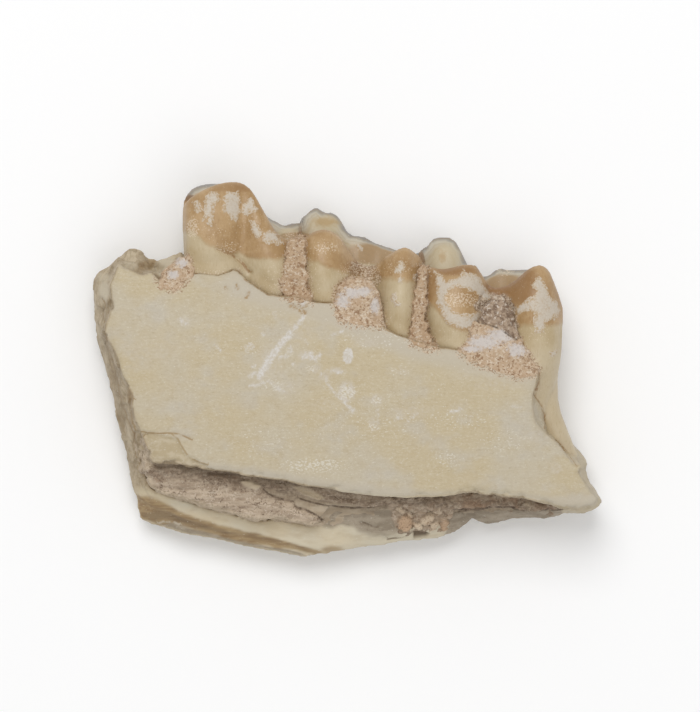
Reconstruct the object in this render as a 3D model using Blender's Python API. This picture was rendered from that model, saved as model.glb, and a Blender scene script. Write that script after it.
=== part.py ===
"""Fossil jaw piece of a small deer-like ruminant, lying on its tongue side with the cheek side up.

The origin is on the resting plane, under the middle of the bounding box. +X runs along the jaw towards
the rear molar, +Y points the way the teeth grew, and +Z points up, out of the cheek side.
Lengths are in millimetres until a mesh is made. Outlines are given as points of the 700 x 712 photograph,
which looks straight down on the cheek side, and from_photo() turns them into millimetres.
"""

import math

import bmesh
import bpy
import numpy as np
from mathutils import Vector, noise
from mathutils.geometry import delaunay_2d_cdt

# Driving dimensions
MM = 0.001
TOOTH_ROW = 20.8  # from the front of the premolar to the rear of the rear molar
TOOTH_ROW_PX = 378  # the same length in the photograph
CHEEK_Z = 5.8  # highest level of the cheek plate over the resting plane
GAP = 0.08  # clearance between pieces that touch

# How the photograph sees the piece
PX = TOOTH_ROW / TOOTH_ROW_PX
PHOTO_CENTRE = (346.7, 371.2)
CAMERA_REACH = 330.0
FACE_Z = 5.5  # level at which PX holds; deeper points show a little nearer to the centre

# The cheek plate, clockwise from its front top corner: tooth sockets, rear break, lower break, front break
SOCKET_MARGIN = [
    (118, 266), (143, 275.5), (151, 272), (156, 277), (161, 283), (168, 287), (175, 286), (182, 281),
    (189, 271), (198, 274), (219, 275), (232, 270), (238, 271), (245, 280), (259, 289), (268, 295),
    (286, 297), (301, 298), (312, 302), (334, 303), (341, 313), (348, 320), (367, 323), (378, 322),
    (387, 330), (398, 335), (411, 339), (428, 346), (441, 348), (459, 350), (469, 358), (482, 363),
    (505, 369), (521, 371), (537, 369),
]
REAR_BREAK = [
    (538, 377), (533, 394), (532, 408), (535, 423), (543, 432), (553, 439), (567, 456), (578, 473), (588, 489),
]
SPUR_TIP = [(597, 499), (595, 504), (588, 508), (576, 509)]
LOWER_BREAK = [
    (563, 507.5), (549, 503), (530, 499), (511, 496), (485, 494), (472, 491.5), (462, 492.5), (450, 495),
    (439, 496), (406, 497), (368, 494.5), (345, 491.5), (329, 488), (306, 485.5), (285, 480), (250, 475.5),
    (231, 471.5), (211, 470), (200, 467), (177, 464), (153, 462.5),
]
FRONT_BREAK = [
    (148, 445), (143, 434), (135, 419), (132, 406), (134, 395), (122, 376), (116, 354), (105, 331), (113, 308),
    (111, 287),
]

# The whole bone, which reaches past the plate on every side, clockwise from its front top corner
SOCKET_RIM = [
    (98, 272), (107, 268), (121, 256), (127, 250), (134, 248.5), (142, 251), (147, 258.5), (157, 260.5),
    (169, 257), (181, 253.5), (200, 256), (240, 262), (290, 280), (340, 294), (400, 316), (450, 332),
    (500, 345), (534, 354),
]
REAR_WALL = [
    (549, 358), (552, 380), (552, 400), (556, 415), (565, 432), (576, 449), (584, 458), (587.5, 464),
    (585, 471), (588, 480), (595, 491), (602, 500), (600, 507), (590, 512), (575, 513),
]
LOWER_BORDER = [
    (562, 513), (555, 517), (542, 519), (511, 519), (498, 523.5), (487, 523.5), (479, 522), (472.5, 517),
    (468, 523), (462, 529), (452, 534), (438, 538), (416, 541), (400, 542), (391, 544.5), (368, 547),
    (345, 551), (320, 555), (304, 559), (276, 553.5), (250, 549), (236, 546), (217, 540.5), (208, 539.5),
    (183, 535.5), (156, 527.5), (139, 521),
]
FRONT_END = [
    (136, 508), (135, 495), (131, 480), (127, 453), (120, 432), (117, 416), (113, 397), (109, 380),
    (103, 361), (98, 340), (95, 315), (92.5, 295), (93.5, 281),
]

# Level of the broken bone around the plate: photograph point, level at the outer edge, level at the plate's foot
BREAK_LEVELS = [
    (95, 290, 1.7, 4.5), (105, 370, 1.4, 4.5), (130, 470, 1.3, 4.2), (140, 515, 1.5, 3.4), (200, 540, 1.9, 3.3),
    (300, 558, 2.0, 3.3), (400, 540, 1.9, 3.2), (465, 525, 1.7, 2.9), (500, 520, 1.6, 3.2), (550, 515, 2.2, 3.6),
    (590, 512, 3.4, 4.2), (598, 495, 3.2, 4.3), (582, 468, 1.6, 3.6), (562, 425, 1.3, 2.2), (550, 375, 1.2, 1.5),
    (450, 335, 1.2, 1.4), (300, 285, 1.2, 1.4), (210, 262, 1.3, 1.6), (165, 259, 2.5, 3.7), (130, 250, 2.7, 4.2),
    (103, 268, 2.3, 4.4),
]
EMPTY_SOCKET = (152, 269, 10, 1.7)  # photograph point, radius in pixels, depth: the pit that a lost tooth left

# Sediment: outline in the photograph, level of its hidden floor, of its edge and of its middle
SEDIMENT = {
    # fills the hollow of the jaw and runs on under the plate
    "marrow_sediment": (
        [(141, 454), (165, 440), (250, 450), (345, 466), (450, 470), (540, 480), (566, 503), (561, 509),
         (540, 509), (511, 507), (454, 510.5), (393, 505), (354, 508.5), (331, 506), (322, 517), (313, 525),
         (292, 521), (278, 517), (255, 520), (225, 511), (208, 507), (186, 500), (166, 494), (152, 487),
         (146, 474)],
        2.3, 3.75, 4.25),
    # packed beside the front of the premolar
    "socket_sediment": (
        [(160, 280), (161, 272), (168, 266), (176, 262), (183, 257), (190, 260), (190, 269), (183, 279),
         (175, 284), (167, 284)],
        3.3, 4.8, 5.3),
    # between the premolar and the front molar
    "seam_sediment_front": (
        [(288, 294), (286, 280), (287, 262), (286, 247), (289, 239), (301, 237), (304, 250), (302, 268),
         (304, 285), (304, 297)],
        4.2, 4.85, 5.15),
    # between the two molars
    "seam_sediment_rear": (
        [(411, 336), (413, 318), (415, 296), (418, 276), (421, 265), (428, 267), (427, 285), (425, 303),
         (425, 322), (430, 338), (434, 345), (426, 343)],
        4.2, 4.95, 5.2),
    # mound in the cheek groove of the front molar
    "groove_sediment_front": (
        [(338, 309), (334, 298), (338, 286), (347, 279), (361, 277), (372, 281), (379, 292), (382, 306),
         (384, 322), (377, 320), (367, 321), (350, 318), (344, 314)],
        3.9, 5.2, 5.55),
    # mound in the cheek groove of the rear molar
    "groove_sediment_rear": (
        [(460, 348), (469, 337), (479, 325), (482, 308), (491, 299), (504, 300), (513, 310), (517, 328),
         (525, 344), (534, 358), (538, 367), (521, 369), (505, 367), (483, 361), (471, 356)],
        3.9, 5.15, 5.5),
}

# Lines across a crown: photograph column, then photograph row of a crest or valley, or level of a wall
PREMOLAR = {
    "cheek_crest": [(183.6, 206), (190, 199), (214, 186), (232, 182), (241, 183), (250, 189), (257, 200),
                    (266, 216), (274, 230), (282, 238), (292, 240), (299.8, 242)],
    "tongue_crest": [(183.6, 204), (188, 194), (197, 187), (213, 184), (232, 184), (250, 196), (263, 213),
                     (270, 219), (277, 222), (284, 226), (292, 223), (299.8, 223)],
    "valley": [(183.6, 208), (232, 190), (250, 212), (270, 232), (285, 244), (299.8, 246)],
    "neck": [(183.6, 262), (240, 272), (299.8, 298)],
    "cheek_wall": [(183.6, 4.2), (187, 4.9), (195, 5.3), (212, 5.45), (232, 5.1), (243, 4.7), (256, 5.1),
                   (272, 5.25), (286, 4.9), (294, 4.4), (299.8, 3.7)],
    "tongue_wall": [(183.6, 3.4), (188, 2.7), (200, 2.2), (235, 1.9), (275, 1.8), (293, 2.1), (299.8, 2.7)],
}
FRONT_MOLAR = {
    "cheek_crest": [(300.7, 248), (305, 239), (314, 232), (325, 230), (334, 233), (341, 239), (349, 251),
                    (355, 260), (366, 266), (377, 266), (384, 258), (392, 253), (398, 249.5), (404, 247.5),
                    (410, 249), (416, 255), (420.6, 264)],
    "tongue_crest": [(300.7, 223), (306, 215), (312, 209), (317, 207), (323, 212), (333, 213), (339, 217),
                     (345, 228), (350, 234), (364, 236), (374, 242), (388, 247), (396, 250), (408, 253),
                     (420.6, 253)],
    "valley": [(300.7, 255), (312, 247), (326, 243), (345, 262), (366, 270), (384, 268), (402, 262), (420.6, 270)],
    "neck": [(300.7, 298), (360, 316), (420.6, 344)],
    "cheek_wall": [(300.7, 3.9), (304, 4.6), (310, 5.2), (325, 5.5), (340, 5.1), (352, 4.5), (366, 4.1),
                   (379, 4.5), (388, 5.1), (402, 5.45), (413, 5.0), (420.6, 4.1)],
    "tongue_wall": [(300.7, 3.2), (304, 2.2), (311, 1.5), (325, 1.25), (345, 1.35), (360, 1.75), (378, 1.35),
                    (398, 1.3), (412, 1.6), (420.6, 2.7)],
}
REAR_MOLAR = {
    "cheek_crest": [(421.5, 273), (430, 267), (437, 269), (444, 269.5), (456, 267), (463, 265.5), (473, 265),
                    (478, 268), (483, 277), (488, 285), (497, 288), (507, 286), (517, 280), (524, 273),
                    (531, 268), (539, 265.5), (545, 267), (550, 273), (554, 283), (559, 296), (562.5, 307)],
    "tongue_crest": [(421.5, 251), (427, 246), (431, 240), (437, 237), (448, 237), (454, 240), (459, 246),
                     (464, 259), (470, 270), (478, 276), (484, 277), (490, 274), (500, 267.5), (507, 269.5),
                     (522, 269.5), (538, 269), (548, 280), (562.5, 312)],
    "valley": [(421.5, 276), (440, 276), (455, 279), (470, 285), (484, 292), (500, 294), (515, 288), (535, 282),
               (550, 292), (562.5, 314)],
    "neck": [(421.5, 344), (490, 358), (540, 366), (562.5, 372)],
    "cheek_wall": [(421.5, 4.0), (428, 4.7), (438, 5.2), (456, 5.5), (470, 5.3), (481, 4.7), (492, 4.2),
                   (505, 4.4), (517, 5.0), (533, 5.45), (548, 5.2), (557, 4.7), (562.5, 4.0)],
    "tongue_wall": [(421.5, 3.1), (427, 2.2), (434, 1.4), (450, 1.15), (470, 1.3), (484, 1.8), (500, 1.3),
                    (525, 1.2), (545, 1.5), (556, 2.0), (562.5, 2.9)],
}
CROWN_STATIONS = 26
ROOT_LENGTH = 2.6  # of the part of a tooth that is sunk in the bone
ROOT_SHARE = 0.55  # thickness at the end of the root, as a share of the crown's
ROOT_TAPER = 0.012  # how fast a molar gets shorter along the jaw towards its root

# The bared hind root of the rear molar: photograph point, level and radius of its centre line
HIND_ROOT = [
    (545, 330, 3.3, 0.92), (544.5, 355, 3.3, 0.82), (543, 380, 3.2, 0.80), (544, 402, 3.1, 0.78),
    (549.5, 420, 3.0, 0.72), (559, 439, 2.9, 0.62), (567.5, 453, 2.8, 0.53), (575, 461, 2.7, 0.40),
]
ROOT_SIDES = 16

SURFACES = {  # colour, roughness and metallic value
    "bone": ((0.56, 0.49, 0.36), 0.6, 0.0),
    "tooth": ((0.46, 0.34, 0.20), 0.35, 0.0),
    "sediment": ((0.47, 0.37, 0.29), 0.9, 0.0),
}


def from_photo(px, py, z=FACE_Z):
    """(x, y) in millimetres of a photograph point that lies at level z."""
    spread = 1 + (FACE_Z - z) / CAMERA_REACH
    return (px - PHOTO_CENTRE[0]) * PX * spread, (PHOTO_CENTRE[1] - py) * PX * spread


def line(points, level):
    """A function of x through photograph columns and rows, smoothed between them."""
    xs, ys = zip(*(from_photo(px, py, level) for px, py in points))
    return smooth(xs, ys)


def levels(points, level):
    """The same for photograph columns and levels in millimetres."""
    xs = [from_photo(px, 0, level)[0] for px, _ in points]
    return smooth(xs, [z for _, z in points])


def smooth(xs, ys):
    """Hermite curve through the points, with no overshoot at a peak."""
    xs, ys = np.array(xs, float), np.array(ys, float)
    slopes = np.diff(ys) / np.diff(xs)
    tangents = np.concatenate([[slopes[0]], np.where(slopes[1:] * slopes[:-1] > 0,
                                                     (slopes[1:] + slopes[:-1]) / 2, 0), [slopes[-1]]])

    def value(x):
        x = min(max(x, xs[0]), xs[-1])
        i = min(max(int(np.searchsorted(xs, x)) - 1, 0), len(xs) - 2)
        width = xs[i + 1] - xs[i]
        t = (x - xs[i]) / width
        return float(
            ys[i] * (2 * t**3 - 3 * t**2 + 1) + tangents[i] * width * (t**3 - 2 * t**2 + t)
            + ys[i + 1] * (3 * t**2 - 2 * t**3) + tangents[i + 1] * width * (t**3 - t**2)
        )

    return value


def rough(x, y, z, wavelength, seed=0.0):
    """Smooth noise from about -1 to 1."""
    return noise.noise(Vector((x / wavelength + seed, y / wavelength, z / wavelength)))


def material(kind):
    made = bpy.data.materials.get(kind) or bpy.data.materials.new(kind)
    colour, roughness, metallic = SURFACES[kind]
    made.use_nodes = True
    shader = made.node_tree.nodes["Principled BSDF"]
    shader.inputs["Base Color"].default_value = (*colour, 1)
    shader.inputs["Roughness"].default_value = roughness
    shader.inputs["Metallic"].default_value = metallic
    return made


def add_object(name, points, faces, kind):
    """A mesh object from points in millimetres."""
    mesh = bpy.data.meshes.new(name)
    mesh.from_pydata([Vector(p) * MM for p in points], [], faces)
    mesh.materials.append(material(kind))
    work = bmesh.new()
    work.from_mesh(mesh)
    bmesh.ops.triangulate(work, faces=[f for f in work.faces if len(f.verts) > 4])
    bmesh.ops.recalc_face_normals(work, faces=work.faces)
    work.to_mesh(mesh)
    work.free()
    mesh.shade_smooth()
    mesh.set_sharp_from_angle(angle=math.radians(35))
    made = bpy.data.objects.new(name, mesh)
    bpy.context.scene.collection.objects.link(made)
    return made


def boolean(target, cutter, operation):
    """Joins or cuts target with cutter, which then stays as a hidden guide."""
    cutter.hide_render = True
    cutter.display_type = "WIRE"
    step = target.modifiers.new(cutter.name, "BOOLEAN")
    step.operation = operation
    step.solver = "EXACT"
    step.object = cutter


def loft(sections):
    """Points and faces of a closed solid through sections with equal numbers of points."""
    count = len(sections[0])
    points = [p for section in sections for p in section]
    faces = []
    for i in range(len(sections) - 1):
        for j in range(count):
            a, b = i * count + j, i * count + (j + 1) % count
            faces.append((a, b, b + count, a + count))
    faces.append(tuple(range(count)))
    faces.append(tuple(range(len(points) - 1, len(points) - 1 - count, -1)))
    return points, faces


def inside(x, y, loop):
    hit = False
    for (x1, y1), (x2, y2) in zip(loop, loop[1:] + loop[:1]):
        if (y1 > y) != (y2 > y) and x < (x2 - x1) * (y - y1) / (y2 - y1) + x1:
            hit = not hit
    return hit


def distance(x, y, loop):
    """From a point to the nearest stretch of a closed loop."""
    ends = np.array(loop)
    along = np.roll(ends, -1, axis=0) - ends
    offset = np.array((x, y)) - ends
    t = np.clip((offset * along).sum(1) / (along**2).sum(1), 0, 1)
    return float(np.hypot(*(offset - along * t[:, None]).T).min())


def offset_loop(loop, amount):
    """A closed clockwise loop moved outwards by amount at each point."""
    moved = []
    for before, here, after in zip(loop[-1:] + loop[:-1], loop, loop[1:] + loop[:1]):
        ahead = (Vector(after) - Vector(here)).normalized()
        behind = (Vector(here) - Vector(before)).normalized()
        out = Vector((-(ahead + behind).y, (ahead + behind).x)).normalized()
        shift = amount / max(0.5, out.dot(Vector((-ahead.y, ahead.x))))
        moved.append(tuple(Vector(here) + out * shift))
    return moved


def relief(loops, spacing, height, border, seed):
    """Triangles over the first loop that keep the edges of all loops, with points every spacing between them."""
    flat = [Vector(p) for loop in loops for p in loop]
    edges, first = [], 0
    for loop in loops:
        edges += [(first + i, first + (i + 1) % len(loop)) for i in range(len(loop))]
        first += len(loop)
    fixed = len(flat)
    (x0, x1), (y0, y1) = ((min(c), max(c)) for c in zip(*loops[0]))
    rows = int((y1 - y0) / (spacing * 0.87)) + 1
    columns = int((x1 - x0) / spacing) + 1
    for row in range(rows):
        for column in range(columns):
            x = x0 + spacing * (column + 0.5 * (row % 2))
            y = y0 + spacing * 0.87 * row
            x += 0.25 * spacing * rough(x, y, seed, 0.9)
            y += 0.25 * spacing * rough(y, x, seed + 5, 0.9)
            if inside(x, y, loops[0]) and min(distance(x, y, loop) for loop in loops) > border:
                flat.append(Vector((x, y)))
    found = delaunay_2d_cdt(flat, edges, [], 1, 1e-5)
    owner = [ids[0] if ids else -1 for ids in found[3]]
    points = []
    for place, source in zip(found[0], owner):
        loop_number = next((n for n, loop in enumerate(loops) if 0 <= source < sum(map(len, loops[: n + 1]))), None)
        loop_number = loop_number if 0 <= source < fixed else None
        points.append((place.x, place.y, height(place.x, place.y, loop_number)))
    rim = [None] * len(loops[0])
    for index, source in enumerate(owner):
        if 0 <= source < len(rim):
            rim[source] = index
    return points, [tuple(face) for face in found[2]], rim


def two_sided(name, front, back, kind):
    """A closed solid from two reliefs whose rims have the same number of points."""
    points, faces, rim = front
    back_points, back_faces, back_rim = back
    start = len(points)
    sides = [
        (rim[i], rim[(i + 1) % len(rim)], start + back_rim[(i + 1) % len(rim)], start + back_rim[i])
        for i in range(len(rim))
    ]
    back_faces = [tuple(start + v for v in reversed(face)) for face in back_faces]
    return add_object(name, points + back_points, faces + back_faces + sides, kind)


def plate_level(x, y):
    """The cheek side bulges gently along and across the jaw."""
    return CHEEK_Z - 0.010 * (y + 1.2) ** 2 - 0.0022 * (x - 0.5) ** 2 + 0.06 * rough(x, y, 3, 5.0)


def break_levels(x, y):
    """Level of the broken bone at the outer edge and at the plate's foot, blended from the named places."""
    weights, edge, foot = 0.0, 0.0, 0.0
    for px, py, at_edge, at_foot in BREAK_LEVELS:
        ax, ay = from_photo(px, py)
        weight = 1 / ((x - ax) ** 2 + (y - ay) ** 2 + 0.05) ** 1.5
        weights, edge, foot = weights + weight, edge + weight * at_edge, foot + weight * at_foot
    return edge / weights, foot / weights


def back_level(x, y):
    """The tongue side rests on a flat spot and curves up and away around it."""
    away = max(0.0, math.hypot((x + 0.5) / 1.9, y + 1.0) - 3.0)
    return min(1.0, 0.022 * away**2 + 0.05 * away)


def jaw_bone():
    plate = [from_photo(*p) for p in SOCKET_MARGIN + REAR_BREAK + SPUR_TIP + LOWER_BREAK + FRONT_BREAK]
    foot = offset_loop(plate, 0.1)
    outer = [
        from_photo(*p, z=break_levels(*from_photo(*p))[0])
        for p in SOCKET_RIM + REAR_WALL + LOWER_BORDER + FRONT_END
    ]
    pit_x, pit_y = from_photo(*EMPTY_SOCKET[:2])

    def front_level(x, y, loop_number):
        on_plate = loop_number == 2 or (loop_number is None and inside(x, y, plate))
        if on_plate:
            return plate_level(x, y)
        edge, root = break_levels(x, y)
        if loop_number == 0:
            share = 0.0
        elif loop_number == 1:
            share = 1.0
        else:
            to_edge, to_plate = distance(x, y, outer), distance(x, y, plate)
            share = (to_edge / (to_edge + to_plate)) ** 0.6
        level = edge + (root - edge) * share
        level += 0.22 * rough(x, y, 1, 1.3) + 0.10 * rough(x, y, 2, 0.5)
        pit = math.hypot(x - pit_x, y - pit_y) / (EMPTY_SOCKET[2] * PX)
        return level - EMPTY_SOCKET[3] * max(0.0, 1 - pit**2)

    front = relief([outer, foot, plate], 0.85, front_level, 0.3, 7)
    lower = len(SOCKET_RIM) + len(REAR_WALL)
    inset = offset_loop(outer, -0.22)
    rounded = offset_loop(outer, -0.6)
    back_rim = [
        rounded[i] if lower + 7 < i < lower + len(LOWER_BORDER) - 1 else inset[i] for i in range(len(outer))
    ]
    back = relief([back_rim], 1.3, lambda x, y, _: back_level(x, y), 0.5, 11)
    return two_sided("jaw_bone", front, back, "bone")


def sediment(name, grow=0.0):
    """A slab of sediment with an uneven, slightly domed front."""
    outline, floor, edge, middle = SEDIMENT[name.split("-")[0]]
    rim = offset_loop([from_photo(*p, z=edge) for p in outline], grow)
    reach = 1.4 if name.startswith("marrow") else 0.5
    seed = float(len(outline))

    def front_level(x, y, loop_number):
        share = 0.0 if loop_number == 0 else min(1.0, distance(x, y, rim) / reach) ** 0.7
        return edge + (middle - edge) * share + 0.08 * rough(x, y, seed, 0.8) + grow

    front = relief([rim], 0.65 if reach > 1 else 0.42, front_level, 0.2, seed)
    back = relief([rim], 1.5, lambda x, y, _: floor - grow, 0.5, seed)
    return two_sided(name, front, back, "sediment")


def crown_section(x, lines, grow):
    """Cross-section of a tooth at x, from the tongue side of its root over the crown to the cheek side."""
    neck = lines["neck"](x)
    tongue, cheek = lines["tongue_wall"](x) - grow, lines["cheek_wall"](x) + grow
    tongue_top, cheek_top = lines["tongue_crest"](x) + grow, lines["cheek_crest"](x) + grow
    valley = min(lines["valley"](x), tongue_top - 0.15, cheek_top - 0.15) + grow
    middle, width = (tongue + cheek) / 2, cheek - tongue
    tongue_rise, cheek_rise = tongue_top - neck, cheek_top - neck
    root = neck - ROOT_LENGTH - grow
    half_root = ROOT_SHARE * width / 2
    return [
        (root, middle - half_root),
        (neck - 1.2, tongue + 0.10 * width),
        (neck, tongue + 0.05 * width),
        (neck + 0.30 * tongue_rise, tongue),
        (neck + 0.60 * tongue_rise, tongue + 0.02 * width),
        (neck + 0.85 * tongue_rise, tongue + 0.06 * width),
        (tongue_top - 0.04 * tongue_rise, tongue + 0.12 * width),
        (tongue_top, tongue + 0.17 * width),
        (tongue_top - 0.25 * (tongue_top - valley), tongue + 0.26 * width),
        (valley + 0.15 * (tongue_top - valley), tongue + 0.38 * width),
        (valley, tongue + 0.50 * width),
        (valley + 0.20 * (cheek_top - valley), tongue + 0.58 * width),
        (cheek_top - 0.20 * (cheek_top - valley), tongue + 0.67 * width),
        (cheek_top, tongue + 0.74 * width),
        (cheek_top - 0.05 * cheek_rise, cheek - 0.17 * width),
        (neck + 0.80 * cheek_rise, cheek - 0.08 * width),
        (neck + 0.60 * cheek_rise, cheek - 0.025 * width),
        (neck + 0.38 * cheek_rise, cheek),
        (neck + 0.15 * cheek_rise, cheek - 0.035 * width),
        (neck, cheek - 0.09 * width),
        (neck - 1.2, cheek - 0.20 * width),
        (root, middle + half_root),
    ]


def tooth(name, form, grow=0.0):
    lines = {key: line(form[key], FACE_Z - 1) for key in ("cheek_crest", "neck")}
    lines |= {key: line(form[key], 2.0) for key in ("tongue_crest", "valley")}
    lines |= {key: levels(form[key], FACE_Z - 1) for key in ("cheek_wall", "tongue_wall")}
    first, last = (from_photo(form["cheek_crest"][i][0], 0, FACE_Z - 1)[0] for i in (0, -1))
    middle = (first + last) / 2
    taper = 0 if name.startswith("premolar") else ROOT_TAPER
    sections = []
    for i in range(CROWN_STATIONS):
        share = i / (CROWN_STATIONS - 1)
        share = 0.7 * share + 0.3 * (1 - math.cos(math.pi * share)) / 2
        x = first + (last - first) * share
        neck = lines["neck"](x)
        sections.append([
            (middle + (x - middle) * (1 - taper * max(0.0, neck + 2.2 - y) ** 2) + grow * (2 * share - 1), y, z)
            for y, z in crown_section(x, lines, grow)
        ])
    return add_object(name, *loft(sections), "tooth")


def hind_root(name, grow=0.0):
    """A round, tapering root with blunt ends."""
    centre = [(*from_photo(px, py, z), z, radius) for px, py, z, radius in HIND_ROOT]
    sections = []
    for i, (x, y, z, radius) in enumerate(centre):
        before, after = centre[max(i - 1, 0)], centre[min(i + 1, len(centre) - 1)]
        run = Vector((after[0] - before[0], after[1] - before[1])).normalized()
        ring = []
        for k in range(ROOT_SIDES):
            turn = 2 * math.pi * k / ROOT_SIDES
            side = math.cos(turn) * (radius + grow)
            ring.append((x + run.y * side, y - run.x * side, z + math.sin(turn) * (radius + grow)))
        sections.append(ring)
    return add_object(name, *loft(sections), "tooth")


def build():
    for old in list(bpy.data.objects):
        bpy.data.objects.remove(old)
    bone = jaw_bone()
    teeth = {"premolar": PREMOLAR, "front_molar": FRONT_MOLAR, "rear_molar": REAR_MOLAR}
    for name, form in teeth.items():
        tooth(name, form)
        boolean(bone, tooth(name + "-room", form, GAP), "DIFFERENCE")
    boolean(bpy.data.objects["rear_molar"], hind_root("hind_root-core"), "UNION")
    boolean(bone, hind_root("hind_root-room", GAP), "DIFFERENCE")
    for name in SEDIMENT:
        made = sediment(name)
        boolean(bone, sediment(name + "-room", GAP), "DIFFERENCE")
        if name != "marrow_sediment":
            for tooth_name in teeth:
                boolean(made, bpy.data.objects[tooth_name + "-room"], "DIFFERENCE")


build()
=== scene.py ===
"""Looks of the fossil jaw piece: three brown teeth in a cream slab of bone, with pinkish sediment between.

The piece lies on its tongue side and the camera looks straight down on the cheek side. Lengths are in
millimetres in the named values and in metres in the meshes. Features on the surface are placed by the pixel
of the 700 x 712 photograph in which the camera sees them, and always lie on the surface that is seen there.
"""

import itertools

import bpy
import numpy as np
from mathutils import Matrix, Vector
from mathutils.bvhtree import BVHTree


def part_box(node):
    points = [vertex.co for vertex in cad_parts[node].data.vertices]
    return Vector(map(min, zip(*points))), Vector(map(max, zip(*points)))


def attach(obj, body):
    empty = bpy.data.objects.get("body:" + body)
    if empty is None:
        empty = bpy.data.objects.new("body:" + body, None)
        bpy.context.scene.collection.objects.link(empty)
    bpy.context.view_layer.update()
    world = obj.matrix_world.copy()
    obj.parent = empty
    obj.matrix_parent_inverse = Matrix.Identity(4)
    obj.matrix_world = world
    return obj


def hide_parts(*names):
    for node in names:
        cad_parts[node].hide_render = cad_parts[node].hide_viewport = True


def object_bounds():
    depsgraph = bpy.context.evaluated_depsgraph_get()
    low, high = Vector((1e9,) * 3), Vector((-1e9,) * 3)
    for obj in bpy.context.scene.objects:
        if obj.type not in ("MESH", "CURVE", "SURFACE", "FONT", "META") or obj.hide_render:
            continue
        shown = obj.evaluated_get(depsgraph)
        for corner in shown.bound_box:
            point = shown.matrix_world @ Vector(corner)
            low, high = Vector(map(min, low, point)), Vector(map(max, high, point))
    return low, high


# Scale and view, as in the model's own source
PX = 20.8 / 378  # millimetres per pixel at the level of the teeth and plate
PHOTO_CENTRE = (346.7, 371.2)
CAMERA_REACH = 330.0
FACE_Z = 5.5
PHOTO_SIZE = (700, 712)
SENSOR = 36.0
EXPOSED = 0.92  # the light is strong enough to make the pale floor white
MM = 0.001  # a millimetre in metres
FLOOR_REACH = 1.5  # metres
FLOOR_TONE = (0.97, 0.97, 0.97, 1)
SKY_STRENGTH = 0.525
LIGHTS = [('key', (-0.05, 0.22, 0.4), 0.3, 0.92), ('fill', (0.1, -0.2, 0.45), 0.5, 0.5)]

# Meshes and looks
BONE_VOXEL = 0.1205
TOOTH_VOXEL = 0.07
FILL_VOXEL = 0.075
LUMP_VOXEL = 0.045
SKIN = 0.02  # how far a look stands out of its smoothed solid
ENAMEL_ROUGHNESS = 0.42
FAR = 1e9  # further than any point
LINE_REACH = 20  # pixels beyond which the distance to a line no longer counts
LATTICE_PRIMES = (73856093, 19349663, 83492791)
LATTICE_MIXER = 1274126177

# Cheek plate
CHEEK_Z = 5.8
SPALL = [
    (142, 433), (151, 433), (161, 435), (170, 437), (177.5, 440), (180.5, 445), (182.5, 450), (186, 456),
    (195, 459), (200, 464), (208, 468), (208, 480), (140, 480), (135, 433),
]
SPALL_DEPTH = 0.10
SPALL_CRACK = [(139, 430), (151, 433), (161, 434.5), (170, 433), (177.5, 434), (185, 436), (193, 439)]
SPALL_EDGE = [(172, 434), (178, 439), (180.5, 444), (184, 450), (188.5, 457), (196.5, 461.5), (208, 465)]
HAIRLINES = [
    [(135, 425), (137, 430), (145, 432.5), (156, 433.4), (172, 433), (179, 434), (185, 436.6), (192, 440)],
    [(143.5, 436), (146.7, 447), (150, 456.7), (152.3, 462)],
    [(134, 398), (131, 406), (131, 412), (134, 424)],
]
# White marks: points of a line, half width, all in pixels
CHALK_LINES = [
    ([(304, 316), (297.5, 325), (290, 334)], 2.4), ([(290, 334), (281.7, 343), (275.8, 351.7)], 3.6),
    ([(275.8, 351.7), (270, 358), (265, 367), (260, 376)], 4.2), ([(250, 376), (256, 373)], 2.2),
    ([(251, 367), (255, 366)], 1.4), ([(251, 386), (258, 385), (264, 383)], 1.8),
    ([(268, 381), (275, 386), (282, 391)], 1.4),
    ([(280, 357.5), (286.7, 356), (291.7, 351.7), (290, 347.5)], 1.9),
    ([(303, 357.5), (307, 354), (311, 357), (316, 360), (320, 355)], 2.4), ([(311, 353), (313, 358)], 2.2),
    ([(293, 363), (294, 365)], 1.6), ([(321.7, 374), (328, 383), (333, 391), (340, 398)], 1.5),
    ([(340, 398), (346.7, 404), (353, 411)], 2.2), ([(331, 335), (338, 333), (342, 331)], 1.3),
    ([(305, 340), (308, 343)], 1.6), ([(396, 419), (399, 416), (402, 417)], 1.7),
    ([(411, 417), (416, 415)], 1.2), ([(407, 421), (408, 422)], 1.3), ([(452, 412), (462, 409)], 1.8),
    ([(513, 406), (521, 408)], 0.9), ([(179, 319), (182, 322), (186, 324)], 1.7),
    ([(215, 345), (218, 348), (222, 351)], 1.5),
    ([(246, 350), (247, 345), (251, 344), (253, 348), (249, 350)], 1.3), ([(263, 333), (264, 334)], 1.5),
    ([(274, 312), (275, 318)], 1.2), ([(377, 410), (378, 417)], 1.2), ([(332, 371), (342, 372)], 1.8),
    ([(184, 266), (187, 262)], 1.0), ([(301, 306), (307, 301)], 1.4),
]
CHALK_SPOT = ((348.0, 355.8), (5.4, 8.4))
# Lower edge of the plate
PLATE_EDGE = [
    (150, 463), (200, 467), (250, 475.5), (306, 485.5), (368, 494.5), (440, 496), (472, 491.5), (511, 496),
    (563, 509),
]
# Places where fine white dust lies thick: centre and half sizes
DUST = [
    ((347, 392), (10, 8), 1.0), ((376, 400), (6, 5), 0.9), ((373, 427), (8, 5), 0.6),
    ((311, 369), (6, 4), 0.8), ((272, 385), (14, 8), 0.6), ((315, 466), (38, 9), 0.75),
    ((447, 459), (18, 8), 0.6), ((400, 372), (14, 6), 0.5), ((255, 350), (16, 10), 0.35),
    ((380, 340), (50, 12), 0.35), ((455, 420), (40, 12), 0.35), ((375, 420), (70, 40), 0.25),
    ((505, 440), (30, 14), 0.4), ((265, 440), (40, 20), 0.3),
]
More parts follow.
